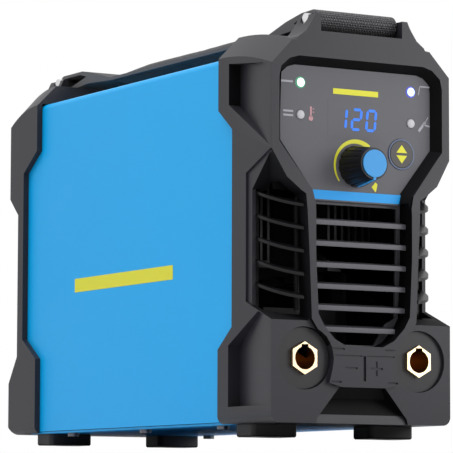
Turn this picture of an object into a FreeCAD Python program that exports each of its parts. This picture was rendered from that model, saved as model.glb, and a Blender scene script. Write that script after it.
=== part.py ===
import FreeCAD, Part
import math
import os
import re
import Sketcher

# Inverter arc welder: two dark mouldings joined by a folded blue cover, a strap handle on top,
# two twist-lock sockets in front and the power electronics inside.
# Millimetres. Places are given from the middle of the machine (x, to the right),
# from the face of the front moulding (y, backwards) and from its bottom edge (z, upwards).

SIZES = {
    # whole machine
    "half_width": 60.0,
    "length": 326.0,
    "frame_height": 215.0,
    "foot_height": 7.3,
    "gap": 0.3,
    # front moulding
    "front_depth": 59.1,
    "strip_setback": 36.1,
    "step_setback": 31.1,
    "step_depth": 1.2,
    "step_slope": 11.5,
    "notch_depth": 15.6,
    "notch_drop": 35.1,
    "notch_slope": 12.1,
    "heel_top": 42.6,
    "heel_shoulder": 54.9,
    "crown": 8.7,
    "corner_cut": 13.6,
    "bottom_round": 5.0,
    "front_wall": 10.0,
    "side_wall": 11.5,
    "strip_wall": 3.5,
    "floor_wall": 3.5,
    "roof_wall": 8.0,
    "block_top": 57.0,
    "proud": 2.5,
    # recess of the control panel
    "recess_depth": 6.3,
    "recess_draft": 32.0,
    "bezel_width": 5.0,
    "recess_drop": 9.0,
    "recess_side": 49.0,
    "taper_height": 26.6,
    "hood_drop": 4.4,
    "hood_slope": 21.0,
    # grille channel
    "channel_margin": 27.7,
    "channel_drop": 3.8,
    "channel_floor": 43.4,
    "pillar_width": 4.9,
    # side pockets
    "pocket_depth": 7.7,
    "pocket_margin": 11.9,
    "pocket_floor": 9.7,
    # finger scoop below the sockets
    "scoop_half": 15.5,
    "scoop_flare": 30.0,
    "scoop_top": 20.3,
    "scoop_depth": 7.5,
    # rear moulding
    "rear_depth": 37.5,
    "rear_cut": 11.5,
    "rear_cut_drop": 73.5,
    "rear_cut_bottom": 50.0,
    "rear_slope": 11.0,
    "rear_rebate": 16.4,
    "rear_step": 18.5,
    "rear_step_bottom": 47.6,
    "rear_step_slope": 13.0,
    "rear_step_drop": 34.2,
    "rear_lap": 2.4,
    "opening_margin": 14.0,
    "opening_floor": 10.0,
    "opening_drop": 12.0,
    # sheet metal
    "cover_inset": 3.9,
    "cover_drop": 4.0,
    "cover_bottom": 1.4,
    "cover_bend": 4.0,
    "cover_flange": 14.0,
    "sheet": 1.0,
    "tray_sheet": 1.2,
    "tray_lip": 12.0,
    "rebate": 8.9,
    "tongue_reach": 10.6,
    # feet
    "foot_length": 30.0,
    "foot_width": 20.0,
    "foot_inset": 20.6,
    "foot_setback": 20.1,
    "foot_screw_radius": 2.0,
    "foot_head_radius": 4.2,
    "foot_head_height": 2.6,
    "foot_sink": 4.0,
    # strap ears and bars
    "ear_length": 18.0,
    "ear_gap": 0.8,
    "ear_thick": 4.6,
    "ear_rise": 2.2,
    "lip_thick": 3.0,
    "lip_rise": 6.2,
    "bar_inset": 10.5,
    "bar_rise": 14.0,
    "bar_radius": 3.5,
    # strap
    "webbing_width": 53.4,
    "webbing_thick": 2.3,
    "webbing_drop": 3.6,
    "sleeve_start": 61.0,
    "sleeve_end_gap": 73.5,
    "sleeve_half_width": 29.6,
    "sleeve_thick": 8.0,
    "sleeve_nose": 5.0,
    # control panel
    "panel_thick": 2.5,
    "window_margin": 19.5,
    "window_sill": 7.6,
    "window_drop": 9.0,
    "panel_lip": 1.0,
    "lamp_inset": 22.6,
    "lamp_drop": 14.2,
    "lamp_pitch": 18.3,
    "lamp_radius": 2.5,
    "display_half": 16.0,
    "display_height": 16.0,
    "dial_drop": 27.3,
    "knob_radius": 12.0,
    "knob_tip_radius": 9.0,
    "knob_length": 18.4,
    "knob_lift": 0.6,
    "knob_flutes": 16,
    "flute_radius": 1.3,
    "flute_depth": 0.5,
    "knob_rim": 2.6,
    "cap_radius": 7.8,
    "cap_thick": 2.0,
    "cap_proud": 0.8,
    "pointer_width": 1.8,
    "shaft_radius": 3.0,
    "bush_radius": 3.5,
    "running": 0.05,
    "encoder_size": 14.0,
    "encoder_depth": 7.2,
    "button_inset": 29.3,
    "button_drop": 18.3,
    "button_radius": 8.0,
    "ring_width": 0.8,
    "button_travel": 1.2,
    "board_gap": 8.9,
    "board_thick": 1.6,
    "board_margin": 13.0,
    "post_inset": 16.0,
    "post_radius": 3.0,
    # grilles
    "slat_count": 6,
    "slat_first": 51.3,
    "slat_drop": 15.05,
    "slat_thick": 2.9,
    "slat_front": 2.6,
    "grille_plate": 2.0,
    "blade_count": 5,
    "blade_first": 68.9,
    "blade_drop": 31.9,
    "blade_thick": 1.7,
    "blade_tilt": 20.0,
    "slat_tilt": 11.0,
    "blade_depth": 8.5,
    "blade_setback": 0.4,
    "blade_ease": 1.03,
    "louvre_gap": 1.3,
    # sockets
    "socket_inset": 21.7,
    "socket_level": 36.1,
    "seat_depth": 5.0,
    "collar_radius": 17.3,
    "collar_thick": 3.0,
    "barrel_radius": 11.2,
    "barrel_length": 11.0,
    "socket_flats": 16.0,
    "socket_bore": 6.5,
    "socket_proud": 2.4,
    "socket_hex_length": 8.5,
    "shank_radius": 7.9,
    "shank_length": 26.0,
    "bore_depth": 26.0,
    "keyway_width": 4.6,
    "keyway_rise": 1.2,
    "nut_flats": 24.0,
    "nut_thick": 6.0,
    "busbar_thick": 2.0,
    "busbar_width": 16.0,
    "busbar_length": 46.0,
    # inside
    "deck_level": 12.0,
    "deck_thick": 1.6,
    "deck_front": 62.0,
    "deck_back_gap": 64.0,
    "deck_margin": 10.0,
    "spacer_radius": 3.5,
    "sink_front": 68.0,
    "sink_length": 160.0,
    "sink_inner": 20.0,
    "sink_level": 92.0,
    "sink_base": 4.0,
    "fin_top": 140.0,
    "fin_count": 7,
    "fin_thick": 1.5,
    "leg_thick": 2.5,
    "transistor_count": 4,
    "transistor_width": 16.0,
    "transistor_length": 21.0,
    "transistor_thick": 5.0,
    "transformer_x": 7.0,
    "transformer_y": 92.0,
    "transformer_width": 50.0,
    "transformer_depth": 28.0,
    "transformer_height": 56.0,
    "choke_y": 146.0,
    "choke_width": 42.0,
    "choke_depth": 24.0,
    "choke_height": 44.0,
    "core_leg": 9.0,
    "winding_bulge": 8.0,
    "capacitor_radius": 12.5,
    "capacitor_height": 45.0,
    "capacitor_x": 14.0,
    "capacitor_y": 190.0,
    "capacitor_pitch": 30.0,
    "rectifier_size": 28.0,
    "rectifier_height": 9.0,
    "rectifier_y": 249.0,
    # fan
    "fan_depth": 25.0,
    "fan_drop": 11.5,
    "fan_rim": 3.0,
    "fan_hole_inset": 4.75,
    "hub_radius": 16.0,
    "motor_radius": 15.0,
    "blade_tip_gap": 2.5,
    "fan_blades": 7,
    "fan_pin_radius": 2.0,
    "guard_wire": 1.1,
    "guard_rings": 4,
    "guard_share": 0.27,
    # rear panel
    "rear_sheet": 2.0,
    "switch_x": 21.0,
    "switch_drop": 42.0,
    "switch_width": 20.0,
    "switch_height": 18.0,
    "switch_flange": 5.0,
    "switch_depth": 24.0,
    "rocker_tilt": 10.0,
    "gland_x": 22.0,
    "gland_bore": 5.0,
    "gland_thread": 10.0,
    "gland_flats": 24.0,
    "gland_hex": 6.0,
    "gland_dome": 11.0,
    "gland_tail": 9.0,
    "screw_head": 3.5,
    "screw_shank": 1.9,
    "head_height": 2.2,
}

doc = FreeCAD.newDocument("arc_welder")
sheet = doc.addObject("Spreadsheet::Sheet", "Sizes")
for row, (alias, size) in enumerate(SIZES.items(), start=1):
    sheet.set(f"A{row}", alias)
    sheet.set(f"B{row}", str(size))
    sheet.setAlias(f"B{row}", alias)
doc.recompute()

# Places worked out from the sheet, as expressions of its sizes and of each other.
PLACES = {
    "knob_reach": "knob_length + cap_proud + knob_lift - recess_depth",
    "origin_y": "(knob_reach - length) / 2",
    # across
    "cover_half": "half_width - cover_inset",
    "cavity_half": "half_width - side_wall",
    "strip_half": "half_width - strip_wall",
    "channel_half": "half_width - channel_margin",
    "recess_half": "half_width - bezel_width",
    "louvre_inner": "channel_half + pillar_width + louvre_gap",
    "louvre_outer": "strip_half - gap",
    "socket_x": "half_width - socket_inset",
    "foot_x": "half_width - foot_inset",
    "opening_half": "half_width - opening_margin",
    "fan_size": "2 * opening_half",
    "fan_throat": "fan_size / 2 - fan_rim",
    "fan_holes": "fan_size / 2 - fan_hole_inset",
    "blade_reach": "fan_throat - blade_tip_gap",
    "guard_hub": "fan_throat * guard_share",
    "guard_step": "(fan_throat - guard_hub - 4) / (guard_rings - 1)",
    "window_half": "half_width - window_margin",
    "lamp_x": "half_width - lamp_inset",
    "button_x": "half_width - button_inset",
    "board_half": "half_width - board_margin",
    "post_x": "half_width - post_inset",
    "deck_half": "half_width - deck_margin",
    "sink_outer": "half_width - deck_margin",
    "ear_inner": "webbing_width / 2 + ear_gap",
    "ear_outer": "ear_inner + ear_thick",
    # along
    "strip_front": "front_depth - strip_setback",
    "strip_back": "front_depth - notch_depth",
    "step_back": "front_depth - step_setback",
    "foot_y": "front_depth - foot_setback",
    "pocket_back": "front_depth - pocket_margin",
    "blade_span": "louvre_outer - louvre_inner",
    "blade_curve": "blade_ease * (blade_span ^ 2 + (strip_front - blade_setback) ^ 2) / 2 / blade_span",
    "rim_start": "front_depth - rebate",
    "rear_start": "length - rear_depth",
    "rear_ledge": "rear_start + rear_rebate",
    "rear_step_back": "rear_start + rear_step",
    "rear_panel_face": "rear_ledge - gap",
    "rear_panel_front": "rear_panel_face - rear_sheet",
    "panel_back": "recess_depth + panel_thick",
    "board_face": "panel_back + board_gap",
    "knob_base": "recess_depth - knob_lift",
    "knob_tip": "knob_base - knob_length",
    "collar_face": "seat_depth - collar_thick",
    "barrel_end": "seat_depth + barrel_length",
    "deck_back": "length - deck_back_gap",
    "sink_back": "sink_front + sink_length",
    "fan_back": "rear_panel_front - gap",
    "fan_front": "fan_back - fan_depth",
    "guard_face": "rear_panel_face + 2 * guard_wire",
    "bar_rear": "length - bar_inset",
    "sleeve_end": "length - sleeve_end_gap",
    # up
    "cavity_top": "frame_height - roof_wall",
    "recess_top": "frame_height - recess_drop",
    "taper_top": "recess_top - recess_side",
    "taper_bottom": "taper_top - taper_height",
    "channel_top": "taper_bottom - channel_drop",
    "panel_floor": "channel_top - panel_lip",
    "hood_tip": "taper_top - hood_drop",
    "hood_back": "hood_tip - hood_slope",
    "notch_top": "frame_height - notch_drop",
    "notch_shoulder": "notch_top - notch_slope",
    "rear_cut_top": "frame_height - rear_cut_drop",
    "rear_step_top": "frame_height - rear_step_drop",
    "rear_step_low": "rear_step_bottom + rear_step_slope",
    "rear_step_high": "rear_step_top - rear_step_slope",
    "opening_top": "frame_height - opening_drop",
    "window_top": "recess_top - window_drop",
    "window_floor": "taper_bottom + window_sill",
    "lamp_high": "recess_top - lamp_drop",
    "lamp_low": "lamp_high - lamp_pitch",
    "display_level": "lamp_low",
    "dial_level": "display_level - dial_drop",
    "button_level": "display_level - button_drop",
    "cover_top": "frame_height - cover_drop",
    "bar_height": "frame_height + bar_rise",
    "ear_top": "bar_height + ear_rise",
    "webbing_level": "bar_height - webbing_drop",
    "switch_level": "frame_height - switch_drop",
    "gland_level": "switch_level",
    "slat_pitch": "(channel_top - slat_drop - slat_first) / (slat_count - 1)",
    "blade_pitch": "(hood_tip - blade_drop - blade_first) / (blade_count - 1)",
    "fan_level": "frame_height / 2 - fan_drop",
    "deck_top": "deck_level + deck_thick",
}

nodes = []


def bound(text):
    # Puts the sheet's name before each of its aliases and writes out the places.
    def spelled(match):
        word = match.group()
        if word in PLACES:
            return f"({bound(PLACES[word])})"
        return "Sizes." + word if word in SIZES else word

    return re.sub(r"[a-z_]+", spelled, str(text))


def value(text):
    return float(sheet.evalExpression(bound(text)))


def bind(item, prop, text):
    item.setExpression(prop, bound(text))


def set_down(item):
    # Moves an item from the moulding's corner to the origin below the middle of the machine.
    bind(item, "Placement.Base.y", "origin_y")
    bind(item, "Placement.Base.z", "foot_height")


def box(name, x0, x1, y0, y1, z0, z1):
    item = doc.addObject("Part::Box", name)
    bind(item, "Length", f"({x1}) - ({x0})")
    bind(item, "Width", f"({y1}) - ({y0})")
    bind(item, "Height", f"({z1}) - ({z0})")
    bind(item, "Placement.Base.x", x0)
    bind(item, "Placement.Base.y", f"({y0}) + origin_y")
    bind(item, "Placement.Base.z", f"({z0}) + foot_height")
    return item


def side_box(name, side, near, far, y0, y1, z0, z1):
    if side > 0:
        return box(name, near, far, y0, y1, z0, z1)
    return box(name, f"-({far})", f"-({near})", y0, y1, z0, z1)


def rod(name, axis, radius, start, end, first, second):
    # A cylinder along x, y or z; first and second are the other two coordinates of its axis.
    item = doc.addObject("Part::Cylinder", name)
    places = {"x": (start, first, second), "y": (first, start, second), "z": (first, second, start)}[axis]
    turns = {"x": (FreeCAD.Vector(0, 1, 0), 90), "y": (FreeCAD.Vector(1, 0, 0), -90),
             "z": (FreeCAD.Vector(0, 0, 1), 0)}
    item.Placement.Rotation = FreeCAD.Rotation(*turns[axis])
    bind(item, "Radius", radius)
    bind(item, "Height", f"({end}) - ({start})")
    bind(item, "Placement.Base.x", places[0])
    bind(item, "Placement.Base.y", f"({places[1]}) + origin_y")
    bind(item, "Placement.Base.z", f"({places[2]}) + foot_height")
    return item


def origin_plane(body, plane):
    return next(part for part in body.Origin.OriginFeatures if part.Role == plane + "_Plane")


def arc_between(start, end, radius):
    # The arc turns anticlockwise from start to end when the radius is positive.
    if radius < 0:
        start, end = end, start
    chord = end - start
    reach = math.sqrt(radius ** 2 - (chord.Length / 2) ** 2)
    across = FreeCAD.Vector(-chord.y, chord.x, 0).normalize()
    centre = (start + end) / 2 + across * reach
    first = math.atan2(start.y - centre.y, start.x - centre.x)
    last = math.atan2(end.y - centre.y, end.x - centre.x)
    if last < first:
        last += 2 * math.pi
    circle = Part.Circle(centre, FreeCAD.Vector(0, 0, 1), abs(radius))
    return Part.ArcOfCircle(circle, first, last)


def draw(sketch, points):
    # A closed outline. A point with a third value starts an arc of that radius.
    spots = [FreeCAD.Vector(value(point[0]), value(point[1]), 0) for point in points]
    base = sketch.GeometryCount
    ends = []
    for number, point in enumerate(points):
        start = spots[number]
        end = spots[(number + 1) % len(points)]
        if len(point) == 3:
            radius = value(point[2])
            index = sketch.addGeometry(arc_between(start, end, radius))
            ends.append((1, 2) if radius > 0 else (2, 1))
        else:
            index = sketch.addGeometry(Part.LineSegment(start, end))
            ends.append((1, 2))
    for number in range(len(points)):
        following = (number + 1) % len(points)
        link = Sketcher.Constraint("Coincident", base + number, ends[number][1], base + following,
                                   ends[following][0])
        sketch.addConstraint(link)
    for number, point in enumerate(points):
        for kind, text, size in (("DistanceX", point[0], spots[number].x),
                                 ("DistanceY", point[1], spots[number].y)):
            rule = Sketcher.Constraint(kind, base + number, ends[number][0], size)
            index = sketch.addConstraint(rule)
            sketch.setExpression(f"Constraints[{index}]", bound(text))
        if len(point) == 3:
            rule = Sketcher.Constraint("Radius", base + number, abs(value(point[2])))
            index = sketch.addConstraint(rule)
            sketch.setExpression(f"Constraints[{index}]", bound(f"abs({point[2]})"))


def attach(body, name, plane, start):
    sketch = body.newObject("Sketcher::SketchObject", name)
    sketch.AttachmentSupport = [(origin_plane(body, plane), "")]
    sketch.MapMode = "FlatFace"
    sign = "-" if plane == "XZ" else ""
    bind(sketch, "AttachmentOffset.Base.z", f"{sign}({start})")
    return sketch


def extrude(body, name, plane, outlines, start, end, kind="PartDesign::Pad", draft=None):
    # XY outlines rise along z, XZ outlines run back along y and YZ outlines run along x.
    sketch = attach(body, name + "_outline", plane, start)
    for outline in outlines:
        draw(sketch, outline)
    feature = body.newObject(kind, name)
    feature.Profile = sketch
    bind(feature, "Length", f"({end}) - ({start})")
    feature.Reversed = (plane == "XZ") == (kind == "PartDesign::Pad")
    if draft:
        bind(feature, "TaperAngle", f"-({draft})")
    sketch.Visibility = False
    return feature


def prism(name, plane, outlines, start, end, draft=None):
    body = doc.addObject("PartDesign::Body", name)
    extrude(body, name + "_pad", plane, outlines, start, end, draft=draft)
    set_down(body)
    return body


def dress(body, kind, name, size, wanted):
    # A fillet or chamfer on the edges of the body's last feature that the test picks.
    doc.recompute()
    base = body.Tip
    edges = [f"Edge{n}" for n, edge in enumerate(base.Shape.Edges, start=1) if wanted(edge)]
    feature = body.newObject(kind, name)
    feature.Base = (base, edges)
    bind(feature, "Radius" if kind.endswith("Fillet") else "Size", size)
    body.Tip = feature
    return feature


def fuse(name, parts):
    item = doc.addObject("Part::MultiFuse", name)
    item.Shapes = parts
    return item


def common(name, parts):
    item = doc.addObject("Part::MultiCommon", name)
    item.Shapes = parts
    return item


def cut(name, base, tools):
    item = doc.addObject("Part::Cut", name)
    item.Base = base
    item.Tool = tools[0] if len(tools) == 1 else fuse(name + "_tools", tools)
    return item


def group(name, parts):
    item = doc.addObject("Part::Compound", name)
    item.Links = parts
    return item


def keep(item, label=None):
    item.Label = label or item.Name
    nodes.append(item)
    return item


def mirrored(points):
    # Closes a right-hand half outline, listed from the bottom up, with its mirror image.
    left = [(f"-({x})", z) for x, z in reversed(points) if x != "0"]
    return list(points) + left


def flipped(points, side):
    if side > 0:
        return list(points)
    return [(f"-({point[0]})",) + tuple(point[1:]) for point in points]


def rectangle(x0, x1, z0, z1):
    return [(x0, z0), (x1, z0), (x1, z1), (x0, z1)]


def hexagon(x, z, flats):
    return [(f"{x} + ({flats}) / 2 / cos(30) * cos({angle})", f"{z} + ({flats}) / 2 / cos(30) * sin({angle})")
            for angle in (30, 90, 150, 210, 270, 330)]


def rounded(x, z, half_x, half_z, radius):
    # A rectangle with round corners.
    corners = ((1, -1), (1, 1), (-1, 1), (-1, -1))
    points = []
    for number, (right, up) in enumerate(corners):
        along = (f"{x} + {right} * (({half_x}) - ({radius}))", f"{z} + {up} * ({half_z})")
        beside = (f"{x} + {right} * ({half_x})", f"{z} + {up} * (({half_z}) - ({radius}))")
        first, second = (along, beside) if number % 2 == 0 else (beside, along)
        points.append(first + (radius,))
        points.append(second)
    return points


def across(edge, test):
    middle = edge.valueAt((edge.FirstParameter + edge.LastParameter) / 2)
    return test(middle)


# Ears that hold a strap bar, with a coved flank outside.
def ears(name, y0, y1):
    flank = [
        ("ear_inner", "frame_height - 3"),
        ("ear_outer + 13", "frame_height - 3"),
        ("ear_outer + 10.5", "frame_height + 1.8"),
        ("ear_outer + 5.5", "frame_height + 5.5"),
        ("ear_outer + 2", "frame_height + 10.5"),
        ("ear_outer + 0.6", "ear_top - 3.4"),
        ("ear_outer - 1", "ear_top"),
        ("ear_inner", "ear_top"),
    ]
    pair = []
    for side in (1, -1):
        pair.append(prism(f"{name}_{'right' if side > 0 else 'left'}", "XZ", [flipped(flank, side)], y0, y1))
    return pair


def top_arc(depth):
    return f"(({depth}) ^ 2 + crown ^ 2) / (2 * crown)"


def chamfered_block(name, outline):
    block = doc.addObject("PartDesign::Body", name)
    extrude(block, name + "_profile", "YZ", [outline], "-half_width", "half_width")
    side = value("half_width") - 0.01
    high = value("frame_height") + 0.01
    dress(block, "PartDesign::Chamfer", name + "_corners", "corner_cut",
          lambda edge: across(edge, lambda spot: abs(spot.x) > side and spot.z > high)
          and edge.Curve.TypeId == "Part::GeomCircle")
    dress(block, "PartDesign::Fillet", name + "_bottom", "bottom_round",
          lambda edge: across(edge, lambda spot: abs(spot.x) > side and abs(spot.z) < 0.01))
    set_down(block)
    return block


def recess_outline(shrink):
    # The control panel's recess, also drawn smaller for the panel itself.
    return mirrored([
        (f"channel_half - 1 - {shrink}", "channel_top - 8"),
        (f"channel_half + 1.7 - {shrink}", f"taper_bottom + {shrink} / 2"),
        (f"recess_half - {shrink}", f"taper_top + {shrink} / 2"),
        (f"recess_half - {shrink}", f"recess_top - 12.4 - {shrink}"),
        (f"recess_half - 1.3 - {shrink}", f"recess_top - 6.6 - {shrink}"),
        (f"recess_half - 6.8 - {shrink}", f"recess_top - 1.8 - {shrink}"),
        (f"recess_half - 13 - {shrink}", f"recess_top - {shrink}"),
    ])


def taper_line(outer):
    # The outer edge of the bezel: down the tapered flank and the pillar beside the channel.
    return [
        ("channel_half + pillar_width - 2.1", "block_top + 1"),
        ("channel_half + pillar_width - 0.6", "block_top + 37"),
        ("channel_half + pillar_width + 1.2", "hood_tip - 24.6"),
        ("channel_half + pillar_width + 4.4", "hood_tip - 22.6"),
        ("half_width - 9.3", "hood_tip - 15.6"),
        ("half_width", "hood_tip"),
    ] + outer


def front_frame():
    profile = [
        ("0", "0"),
        ("front_depth", "0"),
        ("front_depth", "heel_top"),
        ("strip_back", "heel_shoulder"),
        ("strip_back", "notch_shoulder"),
        ("front_depth", "notch_top"),
        ("front_depth", "frame_height + crown", top_arc("front_depth")),
        ("0", "frame_height"),
    ]
    block = chamfered_block("front_block", profile)
    # The bezel stands proud of the block round the channel and between the sockets.
    chin = [
        ("0", "scoop_top"),
        ("scoop_half - 0.5", "scoop_top"),
        ("scoop_half + 8", "scoop_top + 2.2"),
        ("socket_x - 16.8", "socket_level - 6"),
        ("socket_x - 17.7", "socket_level"),
        ("socket_x - 16.8", "socket_level + 6"),
        ("socket_x - 13", "socket_level + 12.2"),
        ("socket_x - 7", "socket_level + 16.4"),
    ]
    ring_front = prism("ring_front", "XZ", [mirrored(chin + taper_line([]))], "-proud", "1")
    ring_side = prism("ring_side", "YZ", [[
        ("-proud", "scoop_top - 1"),
        ("1", "scoop_top - 1"),
        ("1", "hood_tip"),
        ("0", "hood_tip - 1"),
        ("-proud", "hood_tip - 34"),
    ]], "-half_width", "half_width")
    ring = common("bezel_ring", [ring_front, ring_side])
    lip = box("front_lip", "-(ear_inner + 1)", "ear_inner + 1", "0", "lip_thick", "frame_height - 3",
              "frame_height + lip_rise")
    solid = fuse("front_solid", [block, ring, lip] + ears("front_ear", "0", "ear_length"))

    tools = []
    tools.append(prism("front_cavity", "XZ", [rectangle("-cavity_half", "cavity_half", "floor_wall",
                                                        "cavity_top")],
                       "front_wall", "front_depth + 1"))
    tools.append(prism("front_rebate", "XZ", [rectangle("-(cover_half + gap)", "cover_half + gap",
                                                        "-1", "cover_top + gap")], "rim_start",
                       "front_depth + 1"))
    tools.append(prism("strip_cavity", "XZ", [rectangle("-strip_half", "strip_half", "block_top + 5",
                                                        "hood_back")],
                       "front_wall + 2", "front_depth + 1"))
    tools.append(prism("panel_recess", "XZ", [recess_outline("0")], "0", "panel_back", draft="recess_draft"))
    tools.append(prism("bezel_mouth", "XZ", [recess_outline("0")], "-proud - 1", "0.01"))
    tools.append(prism("panel_window", "XZ", [rectangle("-window_half", "window_half", "window_floor",
                                                        "window_top")],
                       "recess_depth", "front_wall + 1"))
    channel = mirrored([
        ("channel_half - 20", "channel_floor"),
        ("channel_half - 12.3", "channel_floor + 3.8"),
        ("channel_half - 5.3", "channel_floor + 11.1"),
        ("channel_half - 1.6", "channel_floor + 17.6"),
        ("channel_half", "channel_floor + 50.6"),
        ("channel_half", "channel_top"),
    ])
    tools.append(prism("channel", "XZ", [channel], "-proud - 1", "front_wall + 1"))
    slot = [
        ("rim_start + 0.1", "heel_top + 1"),
        ("rim_start - tongue_reach - 0.6", "heel_shoulder"),
        ("rim_start - tongue_reach - 0.6", "notch_shoulder"),
        ("rim_start + 0.1", "notch_top - 1"),
    ]
    tools.append(prism("tongue_slot_right", "YZ", [slot], "cover_half - sheet - gap", "cover_half + gap"))
    tools.append(prism("tongue_slot_left", "YZ", [slot], "-(cover_half + gap)",
                       "-(cover_half - sheet - gap)"))
    vent_side = [
        ("-proud - 2", "block_top"),
        ("0", "block_top"),
        ("14.5", "block_top + 5.8"),
        ("strip_front", "block_top + 9.2"),
        ("strip_front", "hood_back"),
        ("1.9", "hood_tip"),
        ("-proud - 2", "hood_tip + 1.9"),
    ]
    vent_step = [
        ("0", "block_top"),
        ("14.5", "block_top + 5.8"),
        ("step_back", "block_top + 11.3"),
        ("step_back", "hood_tip - step_slope"),
        ("1.9", "hood_tip"),
    ]
    upper_pocket = [
        ("3", "hood_tip + 2.4"),
        ("pocket_back", "notch_top + 2.1"),
        ("pocket_back", "recess_top - 0.3"),
        ("10.7", "recess_top - 4"),
        ("3", "recess_top - 6"),
    ]
    lower_pocket = [
        ("3", "pocket_floor"),
        ("pocket_back", "pocket_floor"),
        ("pocket_back", "heel_top + 1.9"),
        ("14.5", "block_top + 5.3"),
        ("3", "block_top + 1"),
    ]
    for side, word in ((1, "right"), (-1, "left")):
        beyond = [("half_width + 4", "hood_tip + 2"), ("half_width + 4", "block_top")]
        corner = [("channel_half + pillar_width - 2.1", "block_top")] + taper_line(beyond)
        vent_front = prism(f"vent_front_{word}", "XZ", [flipped(corner, side)], "-proud - 2", "strip_front")
        low, high = ("channel_half", "half_width + 4") if side > 0 else ("-half_width - 4", "-channel_half")
        vent_across = prism(f"vent_side_{word}", "YZ", [vent_side], low, high)
        tools.append(common(f"vent_{word}", [vent_front, vent_across]))
        low, high = ("half_width - step_depth", "half_width + 1")
        if side < 0:
            low, high = f"-({high})", f"-({low})"
        tools.append(prism(f"vent_step_{word}", "YZ", [vent_step], low, high))
        wedge = flipped([
            ("half_width + 0.1", "2.5"),
            ("half_width + 0.1", "pocket_back"),
            ("half_width - pocket_depth", "pocket_back"),
        ], side)
        for place, outline in (("upper", upper_pocket), ("lower", lower_pocket)):
            plan = prism(f"{place}_wedge_{word}", "XY", [wedge], "0", "frame_height")
            low, high = ("half_width - pocket_depth - 1", "half_width + 1")
            if side < 0:
                low, high = f"-({high})", f"-({low})"
            view = prism(f"{place}_view_{word}", "YZ", [outline], low, high)
            tools.append(common(f"{place}_pocket_{word}", [plan, view]))
        x = f"{side} * socket_x"
        tools.append(rod(f"seat_{word}", "y", "collar_radius + gap", "-proud - 1", "seat_depth", x,
                         "socket_level"))
        tools.append(rod(f"seat_hole_{word}", "y", "barrel_radius + gap", "0", "front_wall + 1", x,
                         "socket_level"))
        tools.append(rod(f"nut_space_{word}", "y", "nut_flats / 2 / cos(30) + gap", "front_wall",
                         "barrel_end + nut_thick + 4", x, "socket_level"))
        tools.append(rod(f"front_bar_hole_{word}", "x", "bar_radius + gap / 2",
                         "-ear_inner - 12" if side < 0 else
                         "ear_inner - 1", "-ear_inner + 1" if side < 0 else "ear_inner + 12",
                         "bar_inset", "bar_height"))
        tools.append(rod(f"front_foot_hole_{word}", "z", "foot_screw_radius + gap / 2", "-1",
                         "floor_wall + 1",
                         f"{side} * foot_x", "foot_y"))
        # A groove above and one below the bridge between the sockets.
        tools.append(side_box(f"ledge_{word}", side, "13.5", "socket_x - 16.5", "-proud - 1", "-proud + 0.8",
                              "channel_floor - 2.2", "channel_floor - 1.2"))
        tools.append(side_box(f"mark_line_{word}", side, "1.6", "socket_x - 18.2", "-proud - 1",
                              "-proud + 0.6",
                              "socket_level + 1.5", "socket_level + 2.3"))
        tools.append(side_box(f"sill_{word}", side, "scoop_half", "socket_x - 16", "-proud - 1",
                              "-proud + 0.8",
                              "scoop_top + 2.4", "scoop_top + 3.4"))
    scoop_front = prism("scoop_front", "XZ", [mirrored([
        ("scoop_flare + 1", "-1"),
        ("scoop_flare", "3"),
        ("scoop_half", "scoop_top"),
    ])], "-proud - 1", "scoop_depth + 1")
    scoop_side = prism("scoop_side", "YZ", [[
        ("-proud - 1", "-1"),
        ("1", "-1"),
        ("2.2", "5"),
        ("scoop_depth", "scoop_top - 6"),
        ("scoop_depth - 3", "scoop_top"),
        ("-proud - 1", "scoop_top"),
    ]], "-scoop_flare - 2", "scoop_flare + 2")
    tools.append(common("scoop", [scoop_front, scoop_side]))
    # Engraved polarity marks and the groove between them.
    mark = ("-proud - 1", "-proud + 0.6")
    tools.append(box("minus_mark", "-13", "-4.8", *mark, "socket_level - 5.6", "socket_level - 4.4"))
    tools.append(box("plus_bar", "3.9", "12.1", *mark, "socket_level - 5.6", "socket_level - 4.4"))
    tools.append(box("plus_stem", "7.4", "8.6", *mark, "socket_level - 9.1", "socket_level - 0.9"))
    tools.append(box("mark_groove", "-0.9", "0.9", "-proud - 1", "-proud + 1.2", "scoop_top + 3.6",
                     "socket_level + 1.9"))
    shell = cut("front_shell", solid, tools)

    # Behind the tapered flanks a short wall carries the vents' roof on to the control board.
    roof = "hood_slope / (strip_front - 1.9)"
    wall = [
        ("front_wall - 0.5", f"hood_tip - (front_wall - 2.4) * {roof}"),
        ("board_face - gap - 2", f"hood_tip - (board_face - gap - 3.9) * {roof}"),
        ("board_face - gap - 2", "hood_back"),
        ("board_face - gap", "hood_back"),
        ("board_face - gap", "hood_back + 17"),
        ("front_wall - 0.5", "hood_back + 17"),
    ]
    posts = []
    pilots = []
    for side, word in ((1, "right"), (-1, "left")):
        low, high = ("channel_half + pillar_width - 0.5", "cavity_half + 0.5")
        if side < 0:
            low, high = f"-({high})", f"-({low})"
        posts.append(prism(f"vent_wall_{word}", "YZ", [wall], low, high))
        for level, height in (("low", "window_floor + 2"), ("high", "window_top - 3")):
            posts.append(rod(f"post_{level}_{word}", "y", "post_radius", "front_wall - 0.5",
                             "board_face - gap",
                             f"{side} * post_x", height))
            pilots.append(rod(f"pilot_{level}_{word}", "y", "screw_shank", "front_wall + 1", "board_face + 1",
                              f"{side} * post_x", height))
    keep(cut("front_frame", fuse("front_with_posts", [shell] + posts), pilots))


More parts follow.
